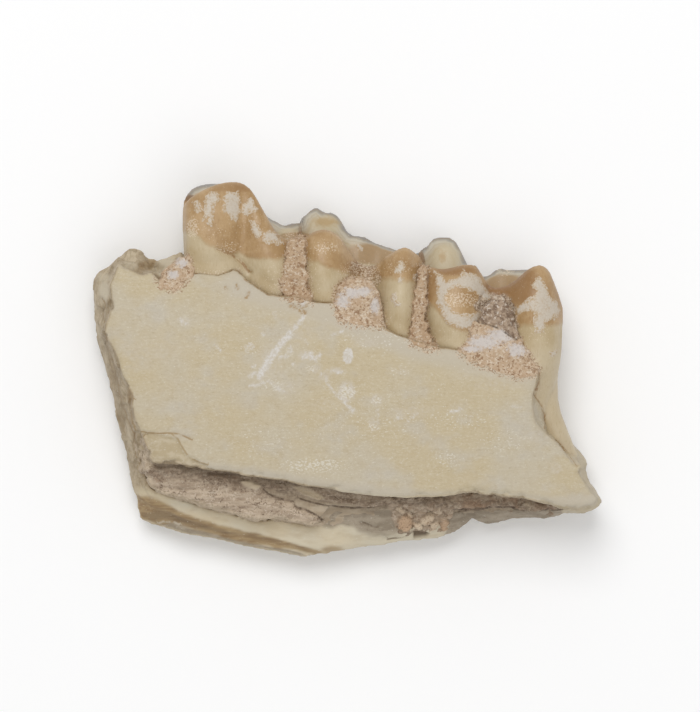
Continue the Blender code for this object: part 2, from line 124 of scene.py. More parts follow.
# Thin lilac grey films on the plate
FILMS = [
    ((347, 392), (10, 11), 1.0), ((376, 400), (8, 7), 0.6), ((324, 377), (7, 6), 0.6),
    ((315, 369), (7, 5), 0.6), ((374, 424), (8, 9), 0.5), ((400, 372), (12, 8), 0.35),
    ((285, 388), (16, 8), 0.5), ((336, 371), (12, 5), 0.6), ((308, 356), (12, 7), 0.6),
    ((365, 343), (16, 6), 0.4), ((500, 385), (40, 7), 0.35), ((412, 412), (26, 8), 0.4),
    ((326, 405), (20, 8), 0.3), ((176, 275), (10, 6), 0.5), ((185, 321), (8, 6), 0.5),
    ((300, 330), (16, 22), 0.35), ((270, 362), (16, 22), 0.4), ((150, 350), (50, 14), 0.3),
    ((556, 468), (6, 7), 0.6), ((548, 488), (10, 7), 0.4), ((540, 436), (14, 8), 0.5),
    ((306, 303), (10, 6), 0.4), ((352, 325), (20, 7), 0.4), ((470, 375), (30, 8), 0.3),
]
# Small brown pits in the plate: a line and its half width
STAINS = [
    ([(225, 286), (226.5, 290)], 0.8), ([(236, 285), (238, 289)], 1.0), ([(249, 293), (246, 298)], 1.3),
    ([(291, 306), (295, 307.5)], 2.0), ([(300, 309), (304.5, 313)], 2.3), ([(302, 305), (307, 306)], 1.0),
]

# Broken front end
LEFT_CREVICE = [
    (101, 298), (105, 304), (104, 316), (103, 326), (106, 340), (109, 352), (113, 364), (115, 376),
    (119, 392), (124, 410), (127, 420), (133, 432), (135, 448), (137, 458), (139, 470), (147, 484),
    (156, 492),
]
OUTER_RIM = [
    (94, 290), (95, 305), (97, 325), (102, 348), (107, 370), (111, 392), (116, 415), (121, 440), (128, 463),
    (132, 488),
]
# Paler spots on the broken bone; those in the hollow by the bump, rows 264 to 272, are painted light that
# lifts its shade, and the one near (104, 292) is painted light on a bright facet
PALE_BONE_AND_LIGHT = [
    ((104, 292), (6, 14), 0.9), ((104, 278), (9, 6), 0.6), ((134, 258), (14, 8), 0.3),
    ((166, 264), (14, 9), 0.9), ((128, 267), (12, 5), 0.6), ((160, 272), (10, 6), 0.7),
    ((148, 271), (6, 4), 0.7), ((124, 372), (4, 10), 0.5), ((128, 430), (4, 22), 0.4),
]
# Tan spots on the bone; the two by the bump near (145, 267) and (153, 262) are painted shade in the pit
# there
TAN_BONE_AND_PIT_SHADE = [
    ((132, 394), (5, 14), 0.7), ((145, 267), (9, 7), 0.5), ((153, 262), (5, 5), 0.5),
    ((146, 448), (4, 13), 0.5), ((133, 418), (3, 12), 0.4), ((148, 500), (13, 6), 0.5),
    ((332, 550), (14, 5), 0.6), ((112, 380), (3, 20), 0.4),
]
# A flake of bone and the narrow joint between the plate and the rearmost root
ROOT_FLAKE = [
    (531, 396), (535, 399), (540, 405), (543, 414), (543.5, 428), (546, 435), (552, 438), (546, 444),
    (536, 434), (529, 420), (528, 405),
]
ROOT_TIP = [(570, 455), (578, 456), (583, 465), (579, 471), (573, 465)]
ROOT_JOINT = [
    (538, 370), (538, 384), (534, 396), (540, 405), (544, 415), (544.5, 430), (552, 438), (561, 446),
    (570, 457), (577, 467),
]
# Edge of the plate along the crowns, with crumbs of sediment in the joint
CROWN_JOINT = [
    (189, 271), (198, 274), (219, 275), (232, 270), (238, 271), (245, 280), (259, 289), (268, 295),
    (286, 297), (301, 298), (312, 302), (334, 303), (341, 313), (348, 320), (367, 323), (378, 322),
    (387, 330), (398, 335), (411, 339), (428, 346), (441, 348), (459, 350), (469, 358), (482, 363),
    (505, 369), (521, 371), (537, 369),
]

# Broken bone below the plate
FOLD = [
    (136, 495), (145, 502), (151, 506), (165, 510), (181, 517), (199, 522), (211, 527), (229, 531),
    (249, 534), (269, 538), (285, 542), (305, 548), (317, 552), (330, 556),
]
TAN_FOLD = [
    (134, 494), (150, 497), (165, 504), (180, 511), (200, 519), (225, 527), (250, 532), (275, 538),
    (300, 546), (322, 552), (318, 557), (300, 553), (270, 548), (240, 543), (222, 538), (205, 534),
    (190, 530), (175, 524), (158, 526), (148, 523), (134, 519),
]
DARK_FOLD = [
    (140, 512), (160, 511), (178, 515), (195, 522), (215, 529), (240, 535), (225, 536), (205, 533),
    (185, 527), (170, 522), (155, 523), (140, 519),
]
GREY_MARGIN = [
    (156, 525), (165, 523), (175, 524), (190, 529), (208, 532), (225, 536), (245, 542), (270, 548),
    (300, 554), (312, 560), (300, 562), (270, 556), (240, 548), (210, 541), (180, 535), (160, 530),
]
MARGIN_EDGE = [(157, 526), (163, 523.5), (172, 523.5), (178, 526)]
STEP = [(377, 531), (383, 536), (387, 540), (405, 538), (413, 532)]
# Crumbs among the broken bone: two brown ones and the pale ones
BROWN_CRUMBS = [
    [(399, 520), (402, 516), (407, 516), (411, 519), (412, 525), (409, 530), (403, 531), (399, 528)],
    [(441, 520), (445, 518), (448, 522), (447, 529), (443, 531), (440, 526)],
]
PALE_CRUMBS = [
    [(423, 516), (428, 513), (434, 513), (433, 518), (429, 523), (424, 525), (420, 522)],
    [(396, 508), (401, 506), (405, 509), (404, 514), (399, 513)],
    [(405, 511), (410, 512), (413, 517), (409, 518)],
    [(413, 521), (420, 523), (423, 527), (419, 529), (414, 527)],
    [(430, 524), (436, 520), (439, 524), (436, 530), (430, 530)],
    [(434, 509), (440, 508), (443, 512), (438, 515)],
]
RUBBLE = [
    (386, 501), (400, 499), (425, 499), (444, 501), (452, 508), (450, 528), (441, 531), (433, 532),
    (426, 529), (414, 529), (411, 532), (399, 532), (395, 520),
]
NOTCH = [(360, 522.5), (366, 524), (374, 528), (378, 527)]
HOLLOW = [(413, 532), (418, 529), (424, 532), (429, 534), (426, 537), (414, 539)]
GREY_BONE = [(446, 512), (472, 509), (561, 508), (563, 520), (470, 532), (455, 537), (441, 540), (449, 524)]
SMOOTH_BONE = [
    (325, 505), (350, 508), (395, 509), (398, 519), (400, 533), (384, 536), (370, 534), (355, 530),
    (342, 526), (330, 526), (318, 524),
]
# Sediment below the plate
FILL_CRACK = [
    (262, 487), (268, 494), (283, 500), (293, 502), (296, 508), (306, 510), (318, 516), (323, 521),
]
LONG_CRACK = [
    (297, 498), (314, 503), (330, 506.5), (351, 509), (373, 508), (393, 505), (420, 507), (451, 510),
    (470, 510), (494, 508), (509, 507), (530, 510), (560, 509),
]
UPPER_LEDGE = [
    (262, 487), (268, 494), (283, 500), (293, 502), (296, 508), (306, 510), (318, 516), (330, 519),
    (345, 512), (330, 506), (314, 503), (297, 498), (290, 492), (276, 489),
]

# Where the crusts of sediment end on the bone and teeth, seen from the camera
SOCKET_CRUST = [
    (187, 255), (191, 260), (192, 271), (190, 277), (184, 284), (178, 289), (170, 290), (162, 287),
    (157, 281), (163, 275), (168, 269), (175, 262), (181.7, 257),
]
SEAM_FRONT_CRUST = [
    (298, 235), (303, 237), (304.5, 243), (305, 255), (307, 270), (309, 287), (312, 302), (292, 299.5),
    (284, 298), (280, 286), (283, 275), (286, 263), (287, 251), (290, 243), (294, 239),
]
GROOVE_FRONT_CRUST = [
    (334, 292), (340, 284), (347, 279.5), (357, 278.5), (365, 280.5), (372, 287), (376, 294), (379, 303),
    (381, 312), (385, 328), (372, 327), (363, 326), (355, 325), (346, 323), (339, 319), (336, 311),
    (334, 304),
]
SEAM_REAR_CRUST = [
    (421.5, 263), (427.5, 268), (427.5, 274), (425.5, 290), (425.5, 307), (426, 323), (428, 332),
    (434, 341), (437, 350), (425, 349), (413, 345), (410, 340), (412, 323), (413.5, 313), (415, 298),
    (417, 283),
]
GROOVE_REAR_CRUST = [
    (475, 322), (486, 323.5), (492, 327), (500, 328), (507, 333), (515, 339), (520, 337), (521, 344),
    (526, 351), (532, 359), (539, 369), (535, 376), (526, 377), (514, 377), (502, 373), (491, 369),
    (479, 365), (466, 359), (458, 351), (467, 344), (470, 336), (470, 329),
]
CRUSTS = [SOCKET_CRUST, SEAM_FRONT_CRUST, GROOVE_FRONT_CRUST, SEAM_REAR_CRUST, GROOVE_REAR_CRUST]
# Burnt brown crust on the upper part of the rear lump
BURNT_CRUST = [
    (474, 318), (470, 300), (500, 294), (524, 300), (522, 336), (515, 340), (507, 334), (502, 330),
    (495, 327), (486, 324), (480, 323),
]
BURNT_EDGE = [
    (476, 320), (480, 323), (486, 324), (495, 327), (502, 330), (507, 334), (515, 340), (521, 337),
]
FILL_CRUST = [
    (137, 460), (143, 462), (150, 466), (172, 470), (200, 475), (240, 483), (280, 491), (296, 500),
    (300, 504), (310, 508), (320, 514), (324, 520), (320, 523.5), (310.6, 525), (298, 522.6), (288, 519.4),
    (277, 518), (262, 518.6), (254, 520), (249, 517), (237, 514.6), (220.6, 509.7), (204.6, 505),
    (188.5, 500), (172.4, 495.3), (159.6, 492), (151.6, 485.7), (146.7, 474.4), (140, 466),
]
SMOOTH_CRUST = [
    (290, 492), (314, 501), (330, 503), (352, 506), (368, 510), (372, 514), (362, 517), (345, 519),
    (330, 523), (324, 520), (320, 514), (310, 508), (300, 504),
]
GAP_CRUST = [
    (345, 503), (375, 502), (400, 500), (440, 504), (470, 506), (500, 504), (540, 506), (562, 508),
    (563, 510), (540, 511), (500, 510), (470, 512), (440, 514), (400, 512), (372, 513), (345, 512),
]
CORNER_CRUST = [(133, 446), (139, 438), (147, 438), (153, 462), (151, 468), (142, 470), (136, 460)]
# Lenses in the sediment below the plate: pale ones and brown ones
PALE_LENSES = [
    [(240, 482), (250, 480), (262, 487), (255, 490), (244, 486)],
    [(293, 487), (302, 486), (315, 492), (325, 498), (318, 500), (303, 495)],
]
BROWN_LENSES = [
    [(150, 471), (160, 473), (165, 481), (157, 482), (150, 477)],
    [(200, 474), (225, 475), (252, 479), (225, 480)],
]

# Top edge of the crowns as the camera sees it
CROWN_RIM = [
    (186, 232), (186, 205), (188, 196), (193, 190), (203, 185.5), (215, 183.5), (232, 182.5), (245, 184),
    (253, 191), (262, 204), (268, 218), (276, 222), (287, 226), (296, 223.5), (301, 223), (304, 216),
    (310, 211), (316.5, 208), (323, 213), (333, 214), (338, 220), (343, 228), (350, 235), (361, 237),
    (370, 240), (380, 244), (390, 248), (397, 250), (418, 254), (425, 248), (430, 241), (436.7, 237),
    (446.7, 237.5), (455, 241.7), (460, 250), (464, 261.7), (484, 277.5), (494, 272), (499, 268),
    (513, 270.5), (526, 270),
]
# Deep brown on the crowns: painted shade in the valleys between cusps and under overhanging lobes, and
# darker brown enamel, as on the top of the premolar
CROWN_BROWN_AND_SHADE = [
    ((497, 291), (20, 12), 1.0), ((520, 286), (22, 26), 0.75), ((455, 271), (24, 6), 0.7),
    ((468, 299), (18, 8), 0.4), ((360, 268), (20, 10), 0.6), ((228, 254), (12, 5), 0.5),
    ((262, 256), (26, 5), 0.35), ((238, 188), (34, 6), 0.5), ((409, 262), (16, 10), 0.3),
    ((430, 285), (10, 22), 0.5), ((368, 246), (30, 6), 0.5), ((550, 300), (14, 24), 0.3),
]
# Scattered pale grains on the crowns
CROWN_GRAINS = [
    ((193, 228), (7, 12), 1.3), ((228, 248), (16, 8), 0.7), ((326, 248), (16, 7), 0.9),
    ((250, 222), (26, 16), 0.3), ((212, 232), (20, 9), 0.35), ((360, 272), (26, 12), 0.9),
    ((400, 268), (16, 10), 0.6), ((460, 300), (24, 9), 1.0), ((312, 285), (12, 26), 0.35),
    ((274, 280), (12, 24), 0.4), ((505, 272), (12, 5), 0.9), ((495, 312), (24, 16), 0.9),
    ((385, 320), (8, 22), 0.5), ((455, 335), (24, 10), 0.3), ((540, 330), (16, 14), 0.4),
    ((293, 236), (12, 6), 0.8), ((350, 240), (20, 8), 0.3),
]
# Teeth: the line in a crown where its brown top fades to the cream base
PREMOLAR_FADE = [
    (180, 233), (189, 231), (194, 230.5), (199, 237), (206, 244), (216, 248), (225, 252), (232, 256),
    (238, 251), (247, 256), (260, 259), (275, 260), (285, 257), (300, 255),
]
FRONT_MOLAR_FADE = [
    (300, 258), (306, 260), (318, 262), (330, 268), (342, 272), (360, 280), (380, 279), (390, 279),
    (402, 281), (413, 282), (421, 284),
]
REAR_MOLAR_FADE = [
    (421, 300), (427, 302), (436, 308), (446, 322), (456, 330), (470, 332), (490, 332), (505, 330),
    (518, 327), (532, 325), (548, 326), (563, 324),
]
# The crease between the main cusp and the heel of the premolar, dented and lined with painted shade
HEEL_CREASE = [(218, 249), (226, 252.5), (232, 255.5), (237, 258), (243, 264), (250, 273)]
# White crust on the crowns: outlines in pixels
PREMOLAR_CRUST = [
    [(194, 204), (198, 201), (202, 205), (201, 211), (196, 212)],
    [
        (205, 198), (211, 192), (218, 193), (219, 200), (214, 206), (213, 215), (212, 226), (208, 224),
        (209, 217), (203, 221), (205, 210),
    ],
    [
        (222, 196), (229, 192), (238, 192), (239, 202), (240, 212), (235, 221), (229, 217), (222, 211),
        (226, 204),
    ],
    [(241, 204), (247, 203), (250, 195), (254, 203), (257, 210), (252, 211), (249, 217), (243, 212)],
    [(251, 221), (255, 220), (259, 228), (262, 235), (257, 239), (254, 233)],
    [(262, 242), (264, 234), (270, 230), (276, 234), (282, 244), (275, 244), (268, 242)],
]
FRONT_MOLAR_CRUST = [
    [(396, 268), (401, 262), (404, 269), (400, 273), (396, 272)],
    [(398, 278), (403, 279), (402, 284), (399, 283)],
    [(393, 294), (396, 293), (397, 300), (401, 306), (396, 307), (393, 302)],
    [(411, 277), (415, 272), (417, 275), (414, 280)],
]
REAR_MOLAR_CRUST = [
    [
        (434, 272), (441, 276), (447, 282), (454, 281), (459, 276), (464, 273), (477, 277), (481, 284),
        (485, 291), (490, 297), (487, 301), (480, 296), (473, 292), (464, 288), (454, 287), (448, 292),
        (446, 298), (448, 305), (453, 311), (462, 314), (474, 314), (484, 310), (486, 313), (479, 320),
        (469, 328), (458, 327), (447, 322), (442, 311), (437, 302), (438, 291), (437, 281),
    ],
    [
        (532, 284), (537, 279), (543, 281), (547, 290), (548, 295), (555, 302), (559, 311), (554, 318),
        (546, 322), (543, 333), (536, 334), (534, 322), (536, 314), (530, 309), (518, 314), (515, 308),
        (525, 302), (535, 297), (538, 292),
    ],
    [(549, 353), (556, 350), (557, 354), (551, 358)],
]
# The tongue-side cusps: pale cores, ochre cores and brown parts; the brown below the rim of the front
# molar's rear ridge is painted shade
CUSP_CORES = [((446, 260), (19, 20)), ((325, 226), (20, 13)), ((289, 233), (14, 6))]
CUSP_OCHRE = [((442, 257), (5, 8)), ((324, 222), (17, 7))]
CUSP_BROWN_AND_SHADE = [((376, 254), (40, 13)), ((470, 268), (8, 6)), ((505, 283), (24, 10)), ((296, 236), (20, 4))]
# Burnt crust in the last valley, a chipped crest, and a valley of painted shade with pale grains
DARK_CRUST = [
    (473, 303), (479, 297), (489, 293), (503, 293), (512, 300), (518, 312), (518, 324), (513, 336),
    (500, 332), (486, 324), (477, 316),
]
CHIP = [(356, 246), (358, 243.5), (363.5, 248.5), (362, 252)]
SHADED_VALLEY = [(350, 262), (362, 260), (378, 266), (384, 280), (378, 288), (362, 277), (346, 276)]

# White chalky zones on the sediment
SEDIMENT_WHITE = [
    ((343, 300), (6, 7)), ((352, 293), (9, 5)), ((363, 292), (8, 4)), ((375, 306), (4, 7)),
    ((484, 342), (16, 6)), ((500, 336), (12, 7)), ((473, 349), (9, 3)), ((517, 350), (9, 6)),
    ((182, 263), (5, 4)), ((173, 275), (5, 4)),
]

# The sediment below the plate, the lump with a burnt crust, and those with the browner tone
FILL_NODE = "marrow_sediment"
BURNT_NODE = "groove_sediment_rear"
WARM_NODES = ("seam_sediment_front", "seam_sediment_rear")

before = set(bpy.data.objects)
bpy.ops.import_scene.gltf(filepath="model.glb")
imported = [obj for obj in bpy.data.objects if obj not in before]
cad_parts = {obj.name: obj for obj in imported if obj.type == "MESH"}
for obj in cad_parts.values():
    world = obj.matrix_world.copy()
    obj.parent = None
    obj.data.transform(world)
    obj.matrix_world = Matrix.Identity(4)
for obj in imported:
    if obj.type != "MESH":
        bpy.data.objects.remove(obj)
CAD_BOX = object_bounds()


def photo_place(points):
    """The photograph column and row in which the camera sees each point."""
    pixel = PX * (1 + (FACE_Z - points[:, 2]) / CAMERA_REACH)
    return np.stack([PHOTO_CENTRE[0] + points[:, 0] / pixel, PHOTO_CENTRE[1] - points[:, 1] / pixel], 1)


def row_of(line, column):
    """The row at which a line that runs from left to right crosses each column."""
    return np.interp(column, *np.array(line).T)


def pieces(place, line):
    """Each straight piece of a line: its step, and each place's share along it, way and distance from it."""
    for start, end in zip(np.array(line[:-1], float), np.array(line[1:], float)):
        step = end - start
        share = ((place - start) @ step) / (step @ step)
        away = place - start - np.clip(share, 0, 1)[:, None] * step
        yield step, share, away, np.hypot(away[:, 0], away[:, 1])


def to_line(place, line):
    """Distance in pixels to an open line."""
    nearest = np.full(len(place), FAR)
    for *_, far in pieces(place, line):
        nearest = np.minimum(nearest, far)
    return nearest


def beside(place, lines):
    """Signed distance in pixels to the nearest of some lines: a sign on each side, none beyond the ends."""
    nearest = np.full(len(place), FAR)
    signed = np.full(len(place), FAR)
    for line in lines:
        last = len(line) - 2
        for k, (step, share, away, far) in enumerate(pieces(place, line)):
            past = ((share < 0) & (k == 0)) | ((share > 1) & (k == last))
            side = np.where((step[0] * away[:, 1] - step[1] * away[:, 0] < 0) & ~past, -1, 1)
            closer = far < nearest
            nearest[closer] = far[closer]
            signed[closer] = (far * side)[closer]
    return np.clip(signed, -LINE_REACH, LINE_REACH)


def depth_in(place, outline):
    """Distance in pixels to a closed outline, positive inside it."""
    inside = np.zeros(len(place), bool)
    for (x1, y1), (x2, y2) in zip(outline, outline[1:] + outline[:1]):
        if y1 == y2:
            continue
        crosses = (y1 > place[:, 1]) != (y2 > place[:, 1])
        inside ^= crosses & (place[:, 0] < (x2 - x1) * (place[:, 1] - y1) / (y2 - y1) + x1)
    return np.where(inside, 1, -1) * to_line(place, outline + outline[:1])


def deepest(place, outlines):
    return np.max([depth_in(place, outline) for outline in outlines], axis=0)


def in_spot(place, centre, half):
    """1 at the centre of an oval, 0 at its rim and negative outside."""
    return 1 - np.hypot((place[:, 0] - centre[0]) / half[0], (place[:, 1] - centre[1]) / half[1])


def in_spots(place, table):
    """The same for the nearest of some ovals, each with a centre and half sizes."""
    return np.max([in_spot(place, centre, half) for centre, half in table], axis=0)


def ramp(value, low, high):
    share = np.clip((value - low) / (high - low), 0, 1)
    return share * share * (3 - 2 * share)


def grain(points, size, seed=0, stretch=(1, 1, 1)):
    """Smooth noise from -1 to 1 with features of the given size."""
    place = points / (size * np.array(stretch)) + seed * 17.31 + 100.0
    cell = np.floor(place).astype(np.int64)
    part = place - cell
    part = part * part * (3 - 2 * part)
    total = np.zeros(len(points))
    for corner in itertools.product((0, 1), repeat=3):
        knot = cell + corner
        mixed = np.bitwise_xor.reduce(knot * LATTICE_PRIMES, axis=1)
        mixed = ((mixed ^ (mixed >> 13)) * LATTICE_MIXER) & 0x7FFFFFFF
        weight = np.prod(np.where(corner, part, 1 - part), axis=1)
        total += weight * (((mixed ^ (mixed >> 15)) & 0xFFFF) / 32767.5 - 1)
    return total


def rough(points, size, seed=0, octaves=3, stretch=(1, 1, 1)):
    total = sum(grain(points, size / 2**i, seed + i, stretch) / 2**i for i in range(octaves))
    return total / 1.5


def plate_level(points):
    return CHEEK_Z - 0.010 * (points[:, 1] + 1.2) ** 2 - 0.0022 * (points[:, 0] - 0.5) ** 2


def spots(place, table):
    """The strongest of some soft oval spots, each with a centre, half sizes and a weight."""
    shares = [weight * ramp(in_spot(place, centre, half), -0.25, 0.55) for centre, half, weight in table]
    return np.max(shares, axis=0)


def along(place, lines):
    """How far inside the strokes a place is: each is a line with its half width."""
    return np.max([half - to_line(place, line) for line, half in lines], axis=0)


def facets(points, weight, count, seed):
    """Heights and shades of chipped facets: every point lies on the tilted plane of its nearest centre."""
    chance = np.random.default_rng(seed)
    centres = points[chance.choice(np.flatnonzero(weight > 0.5), count, replace=False)]
    tilts = chance.normal(0, 0.13, (count, 3))
    steps = chance.uniform(-0.09, 0.09, count)
    shades = chance.uniform(0, 1, count)
    bent = points + 0.18 * np.stack([grain(points, 0.5, seed + k) for k in range(3)], 1)
    nearest = np.full(len(points), FAR)
    height = np.zeros(len(points))
    shade = np.zeros(len(points))
    for centre, tilt, step, tone in zip(centres, tilts, steps, shades):
        away = bent - centre
        far = (away * away).sum(1)
        closer = far < nearest
        nearest[closer] = far[closer]
        height[closer] = (away @ tilt + step)[closer]
        shade[closer] = tone
    return np.clip(height, -0.16, 0.16), shade


def levels_under(trees, x, y):
    """Height of the highest surface below each place, and nan where there is none."""
    down = Vector((0, 0, -1))
    above = 20 * MM
    found = np.full(len(x), np.nan)
    for i, (east, north) in enumerate(zip(x * MM, y * MM)):
        hits = [tree.ray_cast(Vector((east, north, above)), down)[0] for tree in trees]
        found[i] = max((hit.z / MM for hit in hits if hit is not None), default=np.nan)
    return found


def spread(values, reach, pick):
    """The highest, lowest or mean of the cells within the reach of each cell."""
    for axis in (0, 1):
        pad = [(reach, reach) if side == axis else (0, 0) for side in (0, 1)]
        padded = np.pad(values, pad, mode="edge")
        size = values.shape[axis]
        values = pick([np.take(padded, range(k, k + size), axis) for k in range(2 * reach + 1)], axis=0)
    return values


def slab_faces(keep):
    """Faces of a closed slab over the kept cells of a grid. The lower points follow the upper ones."""
    rows, columns = keep.shape
    width = columns + 1
    below = (rows + 1) * width
    framed = np.pad(keep, 1)
    faces = []
    for row, column in zip(*np.nonzero(keep)):
        first = row * width + column
        ring = (first, first + 1, first + 1 + width, first + width)
        faces.append(ring)
        faces.append(tuple(corner + below for corner in reversed(ring)))
        sides = ((row, column + 1), (row + 1, column + 2), (row + 2, column + 1), (row + 1, column))
        for k, side in enumerate(sides):
            if not framed[side]:
                start, end = ring[k], ring[(k + 1) % 4]
                faces.append((end, start, start + below, end + below))
    return faces


def crust_slab(trees, outlines, pitch, seed, reach=0.36, thick=0.4):
    """A closed slab that fills the hollows inside outlines and sinks into the surface at a ragged edge."""
    corners = np.concatenate([np.array(outline, float) for outline in outlines])
    low, high = corners.min(0) - 9, corners.max(0) + 9
    x = np.arange((low[0] - PHOTO_CENTRE[0]) * PX, (high[0] - PHOTO_CENTRE[0]) * PX, pitch)
    y = np.arange((PHOTO_CENTRE[1] - high[1]) * PX, (PHOTO_CENTRE[1] - low[1]) * PX, pitch)
    x, y = np.meshgrid(x, y)
    level = levels_under(trees, x.ravel(), y.ravel()).reshape(x.shape)
    known = ~np.isnan(level)
    level = np.where(known, level, np.nanmin(level) - 0.5)
    cells = int(reach / pitch)
    closed = spread(spread(level, cells, np.max), cells, np.min)
    closed = spread(spread(closed, 2, np.mean), 1, np.mean)
    points = np.stack([x.ravel(), y.ravel(), closed.ravel()], 1)
    depth = deepest(photo_place(points), outlines)
    share = ramp(depth + 0.8 + 4.5 * rough(points, 0.32, seed, 4), -1.6, 1.4).reshape(x.shape)
    sunk = spread(level, 2, np.min) - 0.08
    top = sunk + (np.maximum(closed, level) + 0.04 - sunk) * share
    firm = spread(known * 1.0, 2, np.min) * (depth.reshape(x.shape) > -7)
    keep = (firm[:-1, :-1] * firm[1:, :-1] * firm[:-1, 1:] * firm[1:, 1:]) > 0
    upper = np.stack([x.ravel(), y.ravel(), top.ravel()], 1)
    return np.concatenate([upper, upper - (0, 0, thick)]), slab_faces(keep)


def joined(mesh, extra):
    """A mesh with the points and faces of a slab added."""
    points, faces = extra
    count = len(mesh.vertices)
    found = np.zeros(count * 3)
    mesh.vertices.foreach_get("co", found)
    made = bpy.data.meshes.new(mesh.name + "_crust")
    corners = np.concatenate([found.reshape(-1, 3), points * MM])
    old = [tuple(polygon.vertices) for polygon in mesh.polygons]
    new = [tuple(int(corner) + count for corner in face) for face in faces]
    made.from_pydata(corners.tolist(), [], old + new)
    return made


class Surface:
    """A dense copy of a solid, as arrays in millimetres that are shaped and then written back."""

    def __init__(self, node, voxel, extra=None):
        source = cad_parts[node]
        start = source.data.copy() if extra is None else joined(source.data, extra)
        self.object = add_object(node + "_look", start)
        self.object.data.materials.clear()
        step = self.object.modifiers.new("even", "REMESH")
        step.mode = "VOXEL"
        step.voxel_size = voxel * MM
        graph = bpy.context.evaluated_depsgraph_get()
        mesh = bpy.data.meshes.new_from_object(self.object.evaluated_get(graph))
        self.object.modifiers.clear()
        self.object.data = mesh
        self.mesh = mesh
        self.points = self.read("vertices", "co", 3) / MM
        pairs = self.read("edges", "vertices", 2).astype(int)
        self.a, self.b = pairs[:, 0], pairs[:, 1]
        self.count = len(self.points)
        self.degree = np.bincount(self.a, minlength=self.count) + np.bincount(self.b, minlength=self.count)
        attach(self.object, "root")
        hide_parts(node)

    def read(self, items, key, width):
        found = getattr(self.mesh, items)
        values = np.zeros(len(found) * width)
        found.foreach_get(key, values)
        return values.reshape(-1, width)

    def average(self, values):
        """The mean of the values at the neighbours of each point."""
        a, b = self.a, self.b
        sums = [np.bincount(a, v[b], self.count) + np.bincount(b, v[a], self.count) for v in values.T]
        return np.stack(sums, 1) / self.degree[:, None]

    def smooth(self, rounds, weight=None):
        weight = np.ones(self.count) if weight is None else weight
        for _ in range(rounds):
            self.points += (self.average(self.points) - self.points) * (0.6 * weight)[:, None]
        self.write()

    def normals(self):
        self.write()
        return self.read("vertices", "normal", 3)

    def swell(self, amount):
        self.points += self.normals() * np.broadcast_to(amount, self.count)[:, None]
        self.write()

    def write(self):
        self.mesh.vertices.foreach_set("co", (self.points * MM).ravel().astype(np.float32))
        self.mesh.update()

    def fields(self, **named):
        """Values at the points, which the look reads by their names."""
        for name, values in named.items():
            attribute = self.mesh.attributes.new(name, "FLOAT", "POINT")
            attribute.data.foreach_set("value", np.asarray(values, np.float32))

    def lines(self, name, place, lines, shown, steep=1):
        """Two fields for a look's thin lines: a distance that changes sign at them, and the plain distance.

        On a steep side the camera sees the distance shortened, so it is multiplied to keep the line thin.
        """
        signed = np.where(shown, beside(place, lines) * steep, LINE_REACH)
        self.fields(**{name: signed, name + "_far": np.abs(signed)})

    def finish(self, material):
        low, high = (np.array(corner) / MM for corner in CAD_BOX)
        self.points = np.clip(self.points, low, high)
        self.write()
        self.mesh.shade_smooth()
        self.mesh.materials.clear()
        self.mesh.materials.append(material)


